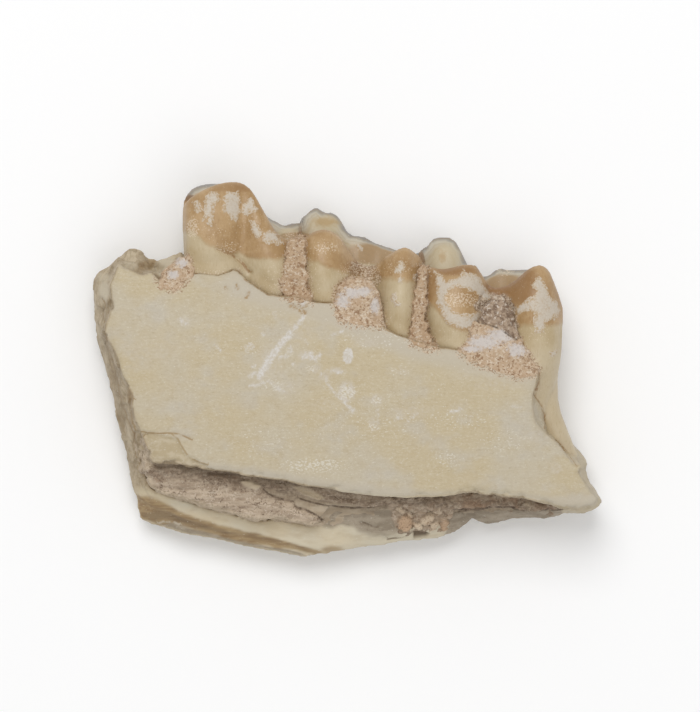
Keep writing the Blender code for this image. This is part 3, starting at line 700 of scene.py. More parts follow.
class Look:
    """A material, with short names for the nodes that it uses.

    A source is a node's output, a number or the name of a field. A colour is an output or 0 to 255 values.
    """

    def __init__(self, name, roughness, bump):
        self.material = bpy.data.materials.new(name)
        self.material.use_nodes = True
        self.tree = self.material.node_tree
        self.shader = self.tree.nodes["Principled BSDF"]
        self.shader.inputs["Roughness"].default_value = roughness
        self.place = self.node("ShaderNodeTexCoord").outputs["Object"]
        self.bump = self.node("ShaderNodeBump")
        self.bump.inputs["Strength"].default_value = 1.0
        self.bump.inputs["Distance"].default_value = bump * MM
        self.tree.links.new(self.bump.outputs["Normal"], self.shader.inputs["Normal"])

    def node(self, kind):
        return self.tree.nodes.new(kind)

    def feed(self, socket, source):
        if isinstance(source, str):
            field = self.node("ShaderNodeAttribute")
            field.attribute_name = source
            source = field.outputs["Fac"]
        if isinstance(source, bpy.types.NodeSocket):
            self.tree.links.new(source, socket)
        else:
            socket.default_value = source

    def scaled(self, size, stretch):
        """The place, counted in features of the given size that are stretched along the axes."""
        made = self.node("ShaderNodeMapping")
        made.inputs["Scale"].default_value = [1 / (size * MM * s) for s in stretch]
        self.feed(made.inputs["Vector"], self.place)
        return made.outputs["Vector"]

    def noise(self, size, detail=3, stretch=(1, 1, 1), sharp=0.5):
        texture = self.node("ShaderNodeTexNoise")
        texture.inputs["Scale"].default_value = 1.0
        texture.inputs["Detail"].default_value = detail
        texture.inputs["Roughness"].default_value = sharp
        self.feed(texture.inputs["Vector"], self.scaled(size, stretch))
        return texture.outputs["Fac"]

    def waver(self, source, size, detail, strength, sharp=0.5):
        """A value that noise pushes up and down."""
        push = self.math("SUBTRACT", self.noise(size, detail, sharp=sharp), 0.5)
        return self.add(source, self.times(push, strength))

    def flakes(self, size, stretch):
        """Random shade of each flake of a broken surface, and the distance to the edge of the flake."""
        place = self.scaled(size, stretch)
        waves = self.node("ShaderNodeTexNoise")
        waves.inputs["Scale"].default_value = 1.6
        self.feed(waves.inputs["Vector"], place)
        bent = self.node("ShaderNodeVectorMath")
        bent.operation = "MULTIPLY_ADD"
        self.feed(bent.inputs[0], waves.outputs["Color"])
        bent.inputs[1].default_value = (0.9, 0.9, 0.9)
        self.feed(bent.inputs[2], place)
        found = []
        for feature, output in (("F1", "Color"), ("DISTANCE_TO_EDGE", "Distance")):
            cells = self.node("ShaderNodeTexVoronoi")
            cells.feature = feature
            cells.inputs["Scale"].default_value = 1.0
            self.feed(cells.inputs["Vector"], bent.outputs["Vector"])
            found.append(cells.outputs[output])
        return found

    def math(self, operation, first, second=0.0):
        made = self.node("ShaderNodeMath")
        made.operation = operation
        self.feed(made.inputs[0], first)
        self.feed(made.inputs[1], second)
        return made.outputs[0]

    def add(self, first, second):
        return self.math("ADD", first, second)

    def times(self, first, second):
        return self.math("MULTIPLY", first, second)

    def ramp(self, value, low, high, top=1.0):
        made = self.node("ShaderNodeMapRange")
        made.interpolation_type = "SMOOTHSTEP"
        made.inputs["To Max"].default_value = top
        self.feed(made.inputs["Value"], value)
        made.inputs["From Min"].default_value = low
        made.inputs["From Max"].default_value = high
        return made.outputs["Result"]

    def mix(self, share, first, second):
        made = self.node("ShaderNodeMix")
        made.data_type = "RGBA"
        self.feed(made.inputs[0], share)
        for socket, colour in ((made.inputs[6], first), (made.inputs[7], second)):
            self.feed(socket, srgb(*colour) if isinstance(colour, tuple) else colour)
        return made.outputs[2]

    def blend(self, source, low, high, first, second):
        """The second colour where the source is near high, the first where it is near low."""
        return self.mix(self.ramp(source, low, high), first, second)

    def layers(self, tone, rows):
        """Colours over a tone, in rows of a source, the low, high and top of its ramp, and the colour."""
        for source, low, high, top, colour in rows:
            tone = self.mix(self.ramp(source, low, high, top), tone, colour)
        return tone

    def stroke(self, name, half):
        """Thin lines where a signed distance passes through zero."""
        line = self.ramp(self.math("ABSOLUTE", name), half, 0.25 * half)
        return self.times(line, self.ramp(name + "_far", 3.5, 2.0))

    def burnt(self):
        """Dark brown crust with pale flecks."""
        tone = self.blend(self.noise(0.32, 5, sharp=0.7), 0.40, 0.58, (120, 98, 79), (176, 154, 132))
        return self.layers(tone, [(self.noise(0.2, 5, sharp=0.7), 0.54, 0.62, 0.9, (216, 204, 190))])

    def strewn(self, tone):
        """Brown and pinkish grains of sediment on a tone, where the surface lies close to a crust."""
        grain_tone = self.blend(self.noise(0.1, 3), 0.42, 0.58, (150, 116, 84), (210, 190, 164))
        chance = self.add(self.noise(0.12, 5, sharp=0.7), self.times("strewn", 0.17))
        share = self.times(self.ramp(chance, 0.60, 0.67, 0.85), self.ramp("strewn", 0.0, 0.25))
        return self.mix(share, tone, grain_tone)

    def colour(self, source):
        self.feed(self.shader.inputs["Base Color"], source)

    def height(self, source):
        self.feed(self.bump.inputs["Height"], source)


def srgb(red, green, blue):
    """A colour for a shader from the 0 to 255 values that it has on screen under the bright light."""
    values = [c / 255 for c in (red, green, blue)]
    return [EXPOSED * (c / 12.92 if c <= 0.04045 else ((c + 0.055) / 1.055) ** 2.4) for c in values] + [1.0]


def bone_look():
    look = Look("bone_cream", 0.62, 0.03)
    cloud = look.noise(3.6, 4, (1.5, 1, 1))
    fibre = look.noise(0.16, 4, (8, 0.8, 1), 0.6)
    fine = look.noise(0.11, 4, (1.6, 1, 1), 0.7)
    shade, flake_edge = look.flakes(0.9, (0.6, 1.7, 0.7))

    # The plate, the broken ends and the lower border
    spalled = look.noise(0.5, 4, (1.5, 0.8, 1), 0.7)
    spalled = look.blend(spalled, 0.45, 0.62, (181, 163, 129), (197, 182, 153))
    cream = look.layers(look.blend(cloud, 0.40, 0.62, (196, 180, 147), (196, 184, 160)), [
        (look.noise(1.3, 5, (1.4, 1, 1)), 0.48, 0.70, 0.55, (194, 186, 172)),
        (fibre, 0.35, 0.75, 0.22, (211, 200, 176)),
        (look.noise(0.5, 4), 0.45, 0.75, 0.25, (184, 164, 126)),
        (fine, 0.52, 0.72, 0.5, (218, 210, 190)),
        (fine, 0.46, 0.28, 0.5, (172, 155, 124)),
        ("greyed", 0, 1, 0.75, (196, 186, 168)),
        ("spalled", 0, 1, 0.8, spalled),
    ])
    film = look.ramp(look.noise(0.22, 5, sharp=0.7), 0.35, 0.6, 0.75)
    cream = look.mix(look.times(look.ramp("film", 0, 1), film), cream, (208, 200, 190))
    chipped = look.add(look.times("chipped", 0.2), look.noise(0.4, 6, (1, 1, 1.6), 0.7))
    chipped = look.add(chipped, look.times(shade, 0.3))
    broken_tone = look.layers(look.blend(chipped, 0.48, 1.02, (162, 143, 114), (198, 181, 152)), [
        (flake_edge, 0.07, 0.0, 0.5, (144, 121, 88)),
        (look.noise(0.12, 3), 0.55, 0.7, 0.3, (142, 121, 92)),
    ])
    band = look.layers(look.blend(cloud, 0.4, 0.6, (213, 197, 166), (214, 203, 179)), [
        (look.noise(0.4, 4, (2.5, 0.8, 1)), 0.45, 0.7, 0.3, (184, 163, 128)),
        (fine, 0.55, 0.75, 0.5, (216, 206, 184)),
    ])
    tone = look.mix("broken", cream, broken_tone)
    tone = look.mix("lower", tone, band)

    # Discoloured bone, painted shade along the crack of the front end and in a hollow, a darker fold, and
    # stains
    grey = look.blend(look.noise(0.5, 4, (2.5, 0.7, 1)), 0.35, 0.65, (146, 132, 112), (172, 158, 138))
    grey = look.layers(grey, [(fine, 0.48, 0.3, 0.5, (120, 104, 86))])
    streaky = look.blend(look.noise(0.35, 4, (4, 0.5, 1)), 0.35, 0.65, (142, 114, 77), (170, 144, 104))
    tone = look.layers(tone, [
        ("grey_bone", 0, 1, 1, grey),
        # paler bone, and painted light in the hollow by the bump and on a bright facet
        ("pale", 0, 1, 1, (203, 190, 165)),
        ("tan", 0, 1, 1, streaky),
        # painted shade in the crack and the hollow, and the darker fold
        ("dirt", 0, 1, 1, (112, 94, 72)),
    ])
    stain = look.ramp(look.noise(0.13, 4, sharp=0.7), 0.36, 0.6)
    tone = look.mix(look.times(look.ramp("stain", 0, 1, 0.75), stain), tone, (160, 122, 68))

    # Thin lines; the crevice strokes are painted shade in cracks and below a step
    faint = look.noise(0.4, 3)
    worn = look.ramp(look.noise(0.35, 4, sharp=0.7), 0.38, 0.58)
    for name, half, share, colour in (
        ("hairline", 1.3, look.ramp(faint, 0.25, 0.5, 0.8), (158, 130, 90)),
        ("spall_edge", 1.4, look.ramp(faint, 0.25, 0.5, 0.7), (166, 140, 100)),
        ("joint", 1.7, look.times(worn, 0.7), (160, 126, 82)),
        ("crevice", 1.6, look.times(worn, 0.8), (116, 98, 76)),
        ("pale_edge", 1.6, look.times(worn, 0.7), (207, 196, 176)),
    ):
        tone = look.mix(look.times(look.stroke(name, half), share), tone, colour)

    # Sediment grains, white flecks and chalk
    fleck = look.add(look.noise(0.085, 3, (1.5, 0.9, 1)), look.times("dust", 0.21))
    chalk = look.blend(look.noise(0.15, 5, sharp=0.7), 0.40, 0.60, (205, 197, 185), (220, 216, 211))
    look.colour(look.layers(look.strewn(tone), [
        (fleck, 0.64, 0.76, 0.75, (222, 216, 202)),
        (look.waver("chalk", 0.17, 5, 13.0, 0.75), -1.5, 3.0, 0.85, chalk),
    ]))
    relief = look.add(look.times(fibre, 0.3), look.times(fine, 0.6))
    uneven = look.add(look.noise(0.25, 5), look.times(shade, 1.6))
    look.height(look.add(relief, look.times("broken", uneven)))
    return look.material


def tooth_look():
    look = Look("tooth_enamel", ENAMEL_ROUGHNESS, 0.018)
    look.shader.inputs["Coat Weight"].default_value = 0.12
    look.shader.inputs["Coat Roughness"].default_value = 0.25
    cloud = look.noise(1.6, 3)
    streak = look.noise(0.11, 5, (0.9, 3.0, 1.5), 0.65)

    # The brown top and the cream base of the cheek side
    brown = look.layers(look.blend(cloud, 0.4, 0.6, (171, 137, 92), (186, 154, 111)), [
        (look.noise(0.35, 5), 0.5, 0.7, 0.3, (200, 171, 132)),
        (streak, 0.52, 0.70, 0.35, (202, 172, 130)),
        (streak, 0.48, 0.32, 0.35, (148, 111, 66)),
        # painted shade in the valleys and under overhangs, and darker brown enamel
        ("shade", 0, 1, 0.85, (142, 101, 55)),
    ])
    cream = look.blend(cloud, 0.35, 0.65, (187, 166, 128), (198, 180, 146))
    cream = look.layers(look.mix("root", cream, (203, 187, 157)), [
        (streak, 0.52, 0.70, 0.35, (210, 194, 163)),
        (streak, 0.48, 0.32, 0.3, (170, 147, 109)),
    ])

    # The glassy tongue-side cusps, greyer at their rim
    rim = look.waver("rim", 0.5, 4, 4.5)
    strata = look.math("SINE", look.add(look.times(rim, 1.4), look.times(look.noise(0.8, 4), 12.0)))
    glass = look.layers(look.blend(rim, 0.8, 4.5, (150, 144, 136), (198, 189, 170)), [
        (rim, 5.5, 10.0, 1, (190, 174, 144)),
        (strata, 0.1, 1.0, 0.3, (172, 148, 112)),
        ("core", 0.0, 0.5, 0.7, (202, 187, 154)),
        (look.waver("ochre", 0.3, 4, 1.6), -0.1, 0.8, 0.75, (182, 152, 104)),
    ])
    # brown parts of the cusps, with painted shade below the rim of the front molar's rear ridge
    browned = look.times(look.ramp("browned", 0, 0.35), look.ramp(rim, 2.0, 4.5, 0.9))
    glass = look.mix(browned, glass, (172, 142, 103))

    edge = look.waver("brown", 0.5, 4, 7.0)
    tone = look.layers(look.blend(edge, -3.5, 3.5, cream, brown), [
        ("tongue", 0, 1, 1, glass),
        ("crest", 0, 1, 0.75, (128, 94, 58)),
        # painted shade in the valley between the lobes of the front molar
        ("dirt", 0, 1, 1, (122, 94, 68)),
        ("burnt", 0, 1, 0.95, look.burnt()),
    ])
    worn = look.times(look.ramp(look.noise(0.3, 4, sharp=0.7), 0.38, 0.58), 0.85)
    # the joint strokes are brown joint lines, and painted shade along the heel crease
    tone = look.mix(look.times(look.stroke("joint", 2.2), worn), tone, (152, 116, 74))

    # Sediment grains, pale flecks and white crust
    fleck = look.add(look.noise(0.085, 2), look.times("dust", 0.2))
    ragged = look.waver("chalk", 0.2, 5, 9.0, 0.75)
    solid = look.ramp(look.add("chalk", look.times(look.noise(0.4, 4), 7.0)), 4.6, 7.6, 0.75)
    crust = look.blend(look.noise(0.1, 5, sharp=0.7), 0.40, 0.60, (182, 154, 116), (209, 197, 179))
    crust = look.mix(solid, crust, (208, 200, 187))
    look.colour(look.layers(look.strewn(tone), [
        (fleck, 0.66, 0.78, 0.65, (224, 206, 180)),
        (ragged, -0.3, 0.5, 0.9, crust),
    ]))
    crusted = look.ramp(ragged, -0.6, 0.9, 0.35)
    look.feed(look.shader.inputs["Roughness"], look.add(crusted, ENAMEL_ROUGHNESS))
    look.height(look.add(look.times(look.noise(0.09, 3), 0.5), look.times(look.noise(0.5, 3), 0.8)))
    return look.material


def sediment_look(name, light, dark, pit_shade, grain_tone, layered, pores, size):
    look = Look(name, 0.9, 0.03)
    bed = look.noise(0.5, 5, (layered, 1 / layered, 1))
    pits = look.waver(look.noise(1.2 * size, 4, sharp=0.7), 0.5, 3, 0.55)
    grains = look.waver(look.noise(size, 4, (1.3, 1, 1), 0.7), 0.45, 3, 0.4)
    crumb = look.mix("warm", (216, 197, 171), (202, 173, 143))
    crumb = look.layers(crumb, [(look.noise(0.09, 3), 0.46, 0.36, 0.6, (134, 104, 78))])
    smooth = look.blend(look.noise(0.6, 4, (2.5, 0.7, 1)), 0.35, 0.65, (174, 156, 132), (194, 178, 155))
    tone = look.layers(look.blend(bed, 0.36, 0.62, light, dark), [
        ("warm", 0, 1, 0.35, (176, 144, 108)),
        # painted shade in the low spots of the grit relief and in the pores
        ("grit", -0.2, -0.6, 0.5, pit_shade),
        (pits, pores, pores - 0.11, 0.85, pit_shade),
        (grains, 0.53, 0.64, 0.75, grain_tone),
        (look.waver("white", 0.16, 5, 3.4, 0.7), -0.5, 0.5, 0.8, (213, 207, 203)),
        ("burnt", 0, 1, 0.95, look.burnt()),
        ("crumb", 0, 1, 1, crumb),
        ("pale", 0, 1, 0.85, (200, 184, 156)),
        ("tan", 0, 1, 0.7, (152, 118, 90)),
        ("smooth", 0, 1, 1, smooth),
    ])
    patchy = look.add(look.ramp(look.noise(0.17, 5, sharp=0.7), 0.40, 0.60, 0.7), 0.62)
    # Painted shade under the plate and in cracks and hollows, and darker patches, mixed in unevenly
    tone = look.mix(look.times(look.ramp("dirt", 0, 1), patchy), tone, (98, 80, 62))
    worn = look.ramp(look.noise(0.35, 4, sharp=0.7), 0.36, 0.58, 0.85)
    # The crevice strokes are painted shade in the cracks and along the edge of the burnt crust
    look.colour(look.mix(look.times(look.stroke("crevice", 1.5), worn), tone, (92, 76, 60)))
    look.height(look.add(look.noise(0.09, 3, sharp=0.65), look.noise(0.3, 3)))
    return look.material


def dress_bone(material):
    flat = bpy.context.evaluated_depsgraph_get()
    trees = [BVHTree.FromObject(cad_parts[node], flat) for node in ("jaw_bone", "rear_molar")]
    bone = Surface("jaw_bone", BONE_VOXEL, crust_slab(trees, [ROOT_FLAKE, ROOT_TIP], 0.12, 11, 1.1, 1.6))
    drop = plate_level(bone.points) - bone.points[:, 2]
    normal = bone.normals()
    on_plate = ramp(drop, 0.45, 0.15) * ramp(normal[:, 2], 0.2, 0.7)
    calm = np.maximum(on_plate, ramp(-normal[:, 2], 0.0, 0.6))
    bone.smooth(3)
    bone.smooth(8, calm)
    points = bone.points.copy()
    up = bone.normals()[:, 2]
    place = photo_place(points)
    column, row = place.T

    # Broken parts: the front and rear ends, the lower border, and what the camera sees of them
    broken = 1 - calm
    front = broken * ramp(column, 215, 195) * ramp(row, 505, 480)
    lower = ramp(row, 484, 496) * broken * ramp(column, 480, 440)
    facing = 0.5 + 0.5 * ramp(up, 0.1, 0.6)
    seen = ramp(up, -0.05, 0.2)
    hidden = ramp(-up, 0.05, 0.35)
    rear = ramp(column, 530, 550)
    back = broken * rear * (1 - seen)
    front_height, front_shade = facets(points, front, 170, 3)
    back_height, back_shade = facets(points, back, 70, 7)
    lift = 0.8 * front * facing * front_height + 0.6 * back * back_height
    lift += 0.6 * front * hidden * (front_height - 0.08)
    lift += broken * (1 - front) * 0.06 * rough(points, 0.9, 1)
    lift += broken * 0.04 * rough(points, 0.35, 2) + calm * 0.018 * rough(points, 1.6, 3, 2)

    # The plate: its chipped corner, pits, chipped lower edge and chalk
    spall = ramp(depth_in(place, SPALL) + 0.8 * rough(points, 0.3, 4), -0.6, 0.8) * on_plate
    crack = ramp(to_line(place, SPALL_CRACK), 1.3, 0.2) * on_plate
    stain = ramp(along(place, STAINS), -1.2, 0.5) * on_plate
    from_edge = np.abs(row - row_of(PLATE_EDGE, column))
    chips = ramp(from_edge, 7, 2) * ramp(drop, 1.2, 0.6) * ramp(rough(points, 0.4, 19), 0.0, 0.5)
    chalk = np.maximum(along(place, CHALK_LINES), 16 * in_spot(place, *CHALK_SPOT))
    chalk = np.where(on_plate > 0.3, np.clip(chalk, -4, 9), -4)
    lift -= SPALL_DEPTH * spall * (1 + 0.5 * rough(points, 0.8, 5)) + 0.04 * crack
    lift += 0.01 * ramp(chalk, -0.5, 0.5) - 0.06 * stain - 0.12 * chips

    # Cracks and folds of the broken parts
    crevice = ramp(to_line(place, LEFT_CREVICE), 2.4, 0.4) * broken
    notch = ramp(to_line(place, NOTCH), 2.2, 0.5) * broken
    hollow = ramp(depth_in(place, HOLLOW), -1.5, 1.0) * broken
    long_crack = ramp(to_line(place, LONG_CRACK), 1.8, 0.4) * broken * ramp(column, 520, 470)
    lift -= 0.12 * notch + 0.30 * hollow + 0.10 * long_crack + 0.07 * crevice
    lift -= 0.16 * lower * ramp(row - row_of(FOLD, column), -1.5, 5.0)
    lift -= 0.06 * lower * ramp(to_line(place, STEP), 2.0, 0.3)
    bone.swell(lift + SKIN)

    # Tones
    uneven = 1.6 * rough(points, 0.6, 8)
    fold_tan = ramp(depth_in(place, TAN_FOLD) + uneven, -2.5, 2.0) * lower
    # the tan spots include painted shade in the pit by the bump
    tan = np.max([0.85 * fold_tan, 0.35 * crack, spots(place, TAN_BONE_AND_PIT_SHADE) * broken * seen], axis=0)
    grey = ramp(depth_in(place, GREY_BONE) + 2 * rough(points, 0.6, 9), -1.5, 1.5)
    margin_grey = 0.8 * ramp(depth_in(place, GREY_MARGIN) + 0.8 * uneven, -1.5, 1.5) * lower
    smooth_grey = 0.9 * ramp(depth_in(place, SMOOTH_BONE) + 2 * uneven, -5, 4) * lower
    flake = ramp(depth_in(place, ROOT_FLAKE), -1.5, 1.0) * ramp(column, 530, 536)
    grey = np.max([grey * broken * (0.3 + 0.7 * seen), margin_grey, smooth_grey, 0.25 * flake], axis=0)
    # Painted shade along the crack of the front end and in the hollow; the fold is only darker
    seam = ramp(to_line(place, LEFT_CREVICE) + 3.5 * rough(points, 0.6, 17), 4.5, 0.0) * broken
    fold_dirt = 0.5 * ramp(depth_in(place, DARK_FOLD) + uneven, -3.0, 3.5) * lower
    rim = 0.55 * ramp(to_line(place, OUTER_RIM), 4.5, 1.0) * ramp(rough(points, 0.45, 12, 4), -0.4, 0.3)
    margin = ramp(row - 30 - np.interp(column, [180, 300, 420, 540], [270, 298, 344, 370]), 0, -24)
    foot = ramp(np.interp(column, [150, 250, 400, 550], [463, 476, 497, 503]) - row, 14, 2)
    bone.fields(
        broken=broken * (1 - lower) * (1 - rear * (0.85 - 0.5 * (1 - seen))) * (1 - flake),
        chipped=np.where(rear > 0, back_shade, front_shade),
        lower=lower,
        # pale: paler bone, and painted light in the hollow by the bump and on a bright facet
        pale=np.maximum(spots(place, PALE_BONE_AND_LIGHT), rim) * broken * (1 - lower) * seen,
        spalled=spall,
        stain=stain,
        film=spots(place, FILMS) * on_plate,
        tan=tan,
        grey_bone=grey,
        dirt=np.max([0.32 * seam * seen * (1 - lower), 0.9 * hollow, fold_dirt], axis=0),
        dust=spots(place, DUST) * on_plate,
        chalk=chalk,
        strewn=ramp(deepest(place, CRUSTS), -8, 0) * on_plate,
        greyed=np.maximum(margin * ramp(column, 180, 260), foot * 0.8) * on_plate,
    )
    steep = 1 / (0.2 + 0.8 * np.clip(up, 0, 1))
    bone.lines("hairline", place, [*HAIRLINES, LEFT_CREVICE], up > 0.15, steep)
    bone.lines("spall_edge", place, [SPALL_EDGE], on_plate > 0.2)
    # Painted shade in the notch, the long crack and below the step
    bone.lines("crevice", place, [NOTCH, LONG_CRACK, STEP[2:]], (broken > 0.2) & (up > 0.15), steep)
    bone.lines("pale_edge", place, [MARGIN_EDGE], lower > 0.5)
    bone.lines("joint", place, [ROOT_JOINT, CROWN_JOINT], up > 0.15, steep)
    bone.finish(material)
    return bone


def dress_tooth(node, material, fade, crust, split_z, joints):
    tooth = Surface(node, TOOTH_VOXEL)
    tooth.smooth(5)
    facing = tooth.normals()[:, 2]
    tooth.smooth(24, ramp(facing, 0.45, 0.8) * ramp(tooth.points[:, 2], split_z, split_z + 0.5))
    tip = ramp(photo_place(tooth.points)[:, 1], 436, 450)
    if tip.any():
        tooth.smooth(60, tip)
    points = tooth.points.copy()
    place = photo_place(points)
    column, row = place.T
    normal = tooth.normals()
    up = normal[:, 2]

    # Parts of the tooth, and what lies on its cheek side
    above = row_of(fade, column) - row
    root = ramp(row, 296, 312)
    cheek = ramp(points[:, 2] + 0.15 * rough(points, 0.6, 1), split_z - 0.25, split_z + 0.35)
    chalk = deepest(place, crust) + 0.6 + 2.4 * rough(points, 0.3, 2)
    chalk = np.where(cheek * ramp(up, -0.2, 0.2) > 0.3, np.clip(chalk, -4, 4), -4)
    dark = ramp(depth_in(place, DARK_CRUST) + 4.5 * rough(points, 0.35, 3), -2.5, 3.0) * cheek
    # The valley between the lobes of the front molar: painted shade with pale grains
    dirty = ramp(depth_in(place, SHADED_VALLEY) + 2.5 * rough(points, 0.4, 4), -2, 3) * cheek
    chip = ramp(depth_in(place, CHIP), -0.5, 0.5)
    lift = 0.02 * rough(points, 1.2, 5, 2) + 0.03 * ramp(chalk, -0.6, 0.8)
    lift += 0.03 * ramp(above, -1.5, 1.5) * cheek
    lift += dark * 0.10 * rough(points, 0.35, 6) + dirty * 0.05 * rough(points, 0.3, 7)
    lift += 0.03 * chip - 0.09 * ramp(to_line(place, HEEL_CREASE), 4.5, 0.0) * cheek

    # The crown bulges over the edge of the plate, and meets its neighbours
    lift += 0.12 * ramp(to_line(place, CROWN_JOINT), 13, 1.5) * ramp(up, -0.4, 0.2)
    low, high = (corner[0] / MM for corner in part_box(node))
    for side in joints:
        end = high - points[:, 0] if side > 0 else points[:, 0] - low
        lift += 0.13 * ramp(side * normal[:, 0], 0.2, 0.8) * ramp(end, 0.45, 0.15)
    tooth.swell(lift + SKIN)

    # The root is paler below row 335; the extra paleness at its tip below row 420 is painted light that
    # lifts the shade of the tip
    pale_and_lit_root = 0.7 * ramp(row, 335, 365) + 0.3 * ramp(row, 420, 438)
    crumbs = 0.9 * ramp(to_line(place, CROWN_JOINT), 7, 2) * ramp(rough(points, 0.7, 13), -0.3, 0.3)
    tooth.fields(
        brown=np.clip(above, -LINE_REACH, LINE_REACH),
        tongue=(1 - cheek) * (1 - root),
        root=pale_and_lit_root * ramp(column, 520, 530),
        rim=np.clip(to_line(place, CROWN_RIM), 0, LINE_REACH),
        core=in_spots(place, CUSP_CORES),
        ochre=in_spots(place, CUSP_OCHRE),
        browned=in_spots(place, CUSP_BROWN_AND_SHADE),
        # painted shade in valleys and under overhangs, and darker brown enamel
        shade=spots(place, CROWN_BROWN_AND_SHADE),
        chalk=np.maximum(chalk, 4 * (2 * chip - 1)),
        burnt=dark,
        dirt=dirty * 0.5,
        dust=np.max([dark, dirty, crumbs, spots(place, CROWN_GRAINS)], axis=0),
        strewn=ramp(deepest(place, CRUSTS), -7, 0) * cheek,
        crest=ramp(np.abs(cheek - 0.5), 0.45, 0.2) * ramp(up, -0.2, 0.3) * (1 - root),
    )
    # Brown joint lines along the plate and the root, and painted shade along the heel crease
    tooth.lines("joint", place, [CROWN_JOINT, ROOT_JOINT, HEEL_CREASE], up > -0.2)
    tooth.finish(material)
    return tooth


def fill_shape(fill, place, seed):
    """Heights and fields of the layered sediment below the plate."""
    points = fill.points
    column, row = place.T
    grit = rough(points, 0.16, seed, 3, (1.6, 0.9, 1))
    layers = rough(points, 0.45, 3, 2, (4, 0.5, 1))
    clots = rough(points, 0.45, 17)

    # Parts: rubble and its crumbs, cracks, lenses, a ledge, and rocky and clotted stretches
    rubble = ramp(depth_in(place, RUBBLE) + 2 * rough(points, 0.4, 8), -2, 1)
    crumb_depth = deepest(place, PALE_CRUMBS + BROWN_CRUMBS) + 1.8 * rough(points, 0.25, 8)
    crumb = ramp(crumb_depth, -0.8, 0.6)
    outline = ramp(np.abs(crumb_depth + 0.8), 1.4, 0.2) * ramp(rough(points, 0.5, 14), -0.5, 0.3) * rubble
    shadowed = ramp(rough(points, 0.35, 15), -0.1, -0.6) * rubble
    crack = ramp(np.minimum(to_line(place, FILL_CRACK), to_line(place, LONG_CRACK)), 2.0, 0.4)
    crack = crack * (1 - rubble) * ramp(column, 530, 480)
    below_crack = row - row_of(LONG_CRACK, column)
    near = row - row_of(PLATE_EDGE, column)
    pale = ramp(deepest(place, PALE_LENSES), -1.2, 1.0)
    brown = ramp(deepest(place, BROWN_LENSES), -2.0, 1.5)
    rocky = ramp(column, 370, 400)
    clotted = ramp(column, 440, 465)
    ledge = ramp(depth_in(place, UPPER_LEDGE), -0.5, 1.0)
    corner = ramp(depth_in(place, CORNER_CRUST), -3, 0)
    gap = ramp(depth_in(place, GAP_CRUST), -3, 0) * ramp(below_crack, -0.5, 1.5)
    smooth = np.max([ramp(depth_in(place, SMOOTH_CRUST), -3, 0), gap, 0.8 * ledge], axis=0) * (1 - rubble)
    low_edge = to_line(place, FILL_CRUST[12:]) + 1.5 * rough(points, 0.3, 18)
    low_edge = ramp(low_edge, 5, 1) * ramp(near, 8, 14)

    lift = 0.05 + 0.09 * layers + (0.04 + 0.06 * rocky) * grit + rocky * 0.10 * rough(points, 0.7, 6)
    lift += 0.12 * pale - 0.12 * crack - 0.08 * ledge
    lift -= 0.10 * ramp(near, 8, 0) * ramp(column, 530, 490)
    lift += rubble * (0.10 * rough(points, 0.35, 15) + 0.13 * crumb - 0.08 * outline)
    lift = lift * (1 - 0.75 * smooth) - 0.05 * smooth
    lift += clotted * (0.12 * clots + 0.04 * grit)

    # Painted shade: the shadow under the plate's overhang, and darkening in the cracks, in the low layers
    # and around the rubble's crumbs; the rocky stretch is only darker
    plate_shadow = 0.64 * ramp(near + 3 * layers, 32, 1) * (1 - 0.4 * ramp(near, 9, 3))
    rocky_dirt = rocky * (0.25 + 0.30 * ramp(column, 460, 445) + 0.1 * clotted)
    dirt = np.max([plate_shadow, rocky_dirt, 0.5 * crack, 0.45 * ramp(layers, -0.25, -0.6)], axis=0)
    dirt = dirt * (1 - 0.75 * rubble * ramp(below_crack, -3, 1))
    dirt = np.max([dirt, 0.45 * outline, 0.45 * shadowed], axis=0)
    pale_clots = 0.45 * clotted * ramp(clots, 0.1, 0.5)
    rust = 0.7 * clotted * ramp(clots, 0.3, -0.2)
    brown_grit = 0.6 * brown * ramp(grit, -0.5, 0.3)
    rocky_tan = 0.4 * rocky * ramp(grit, -0.3, 0.5)
    # painted shade in the cracks
    fill.lines("crevice", place, [FILL_CRACK, LONG_CRACK], rubble < 0.3)
    return lift, {
        "grit": grit,
        "dirt": dirt * (1 - 0.8 * pale) * (1 - crumb) * (1 - corner) * (1 - 0.7 * low_edge),
        "smooth": smooth,
        "pale": np.max([0.7 * pale, 0.4 * corner, 0.45 * low_edge, pale_clots], axis=0),
        "tan": np.max([brown_grit, rocky_tan, rust], axis=0),
        "crumb": crumb,
        "warm": ramp(deepest(place, BROWN_CRUMBS), -3, -1),
    }


def lump_shape(lump, place, seed, burnt):
    """Heights and fields of a small lump of crumbly sediment, which may have a burnt crust."""
    points = lump.points
    grit = rough(points, 0.13, seed, 2)
    side = ramp(lump.normals()[:, 2], 0.5, 0.1)
    lift = 0.05 * rough(points, 0.4, 1) + 0.035 * grit + side * (0.16 * rough(points, 0.8, 16) - 0.05)
    burnt_crust = ramp(depth_in(place, BURNT_CRUST) + 3.0 * rough(points, 0.35, 9), -2.0, 2.0)
    # painted shade along the edge of the burnt crust
    lump.lines("crevice", place, [BURNT_EDGE], np.full(lump.count, True))
    return lift, {"grit": grit, "white": in_spots(place, SEDIMENT_WHITE), "burnt": burnt * burnt_crust}


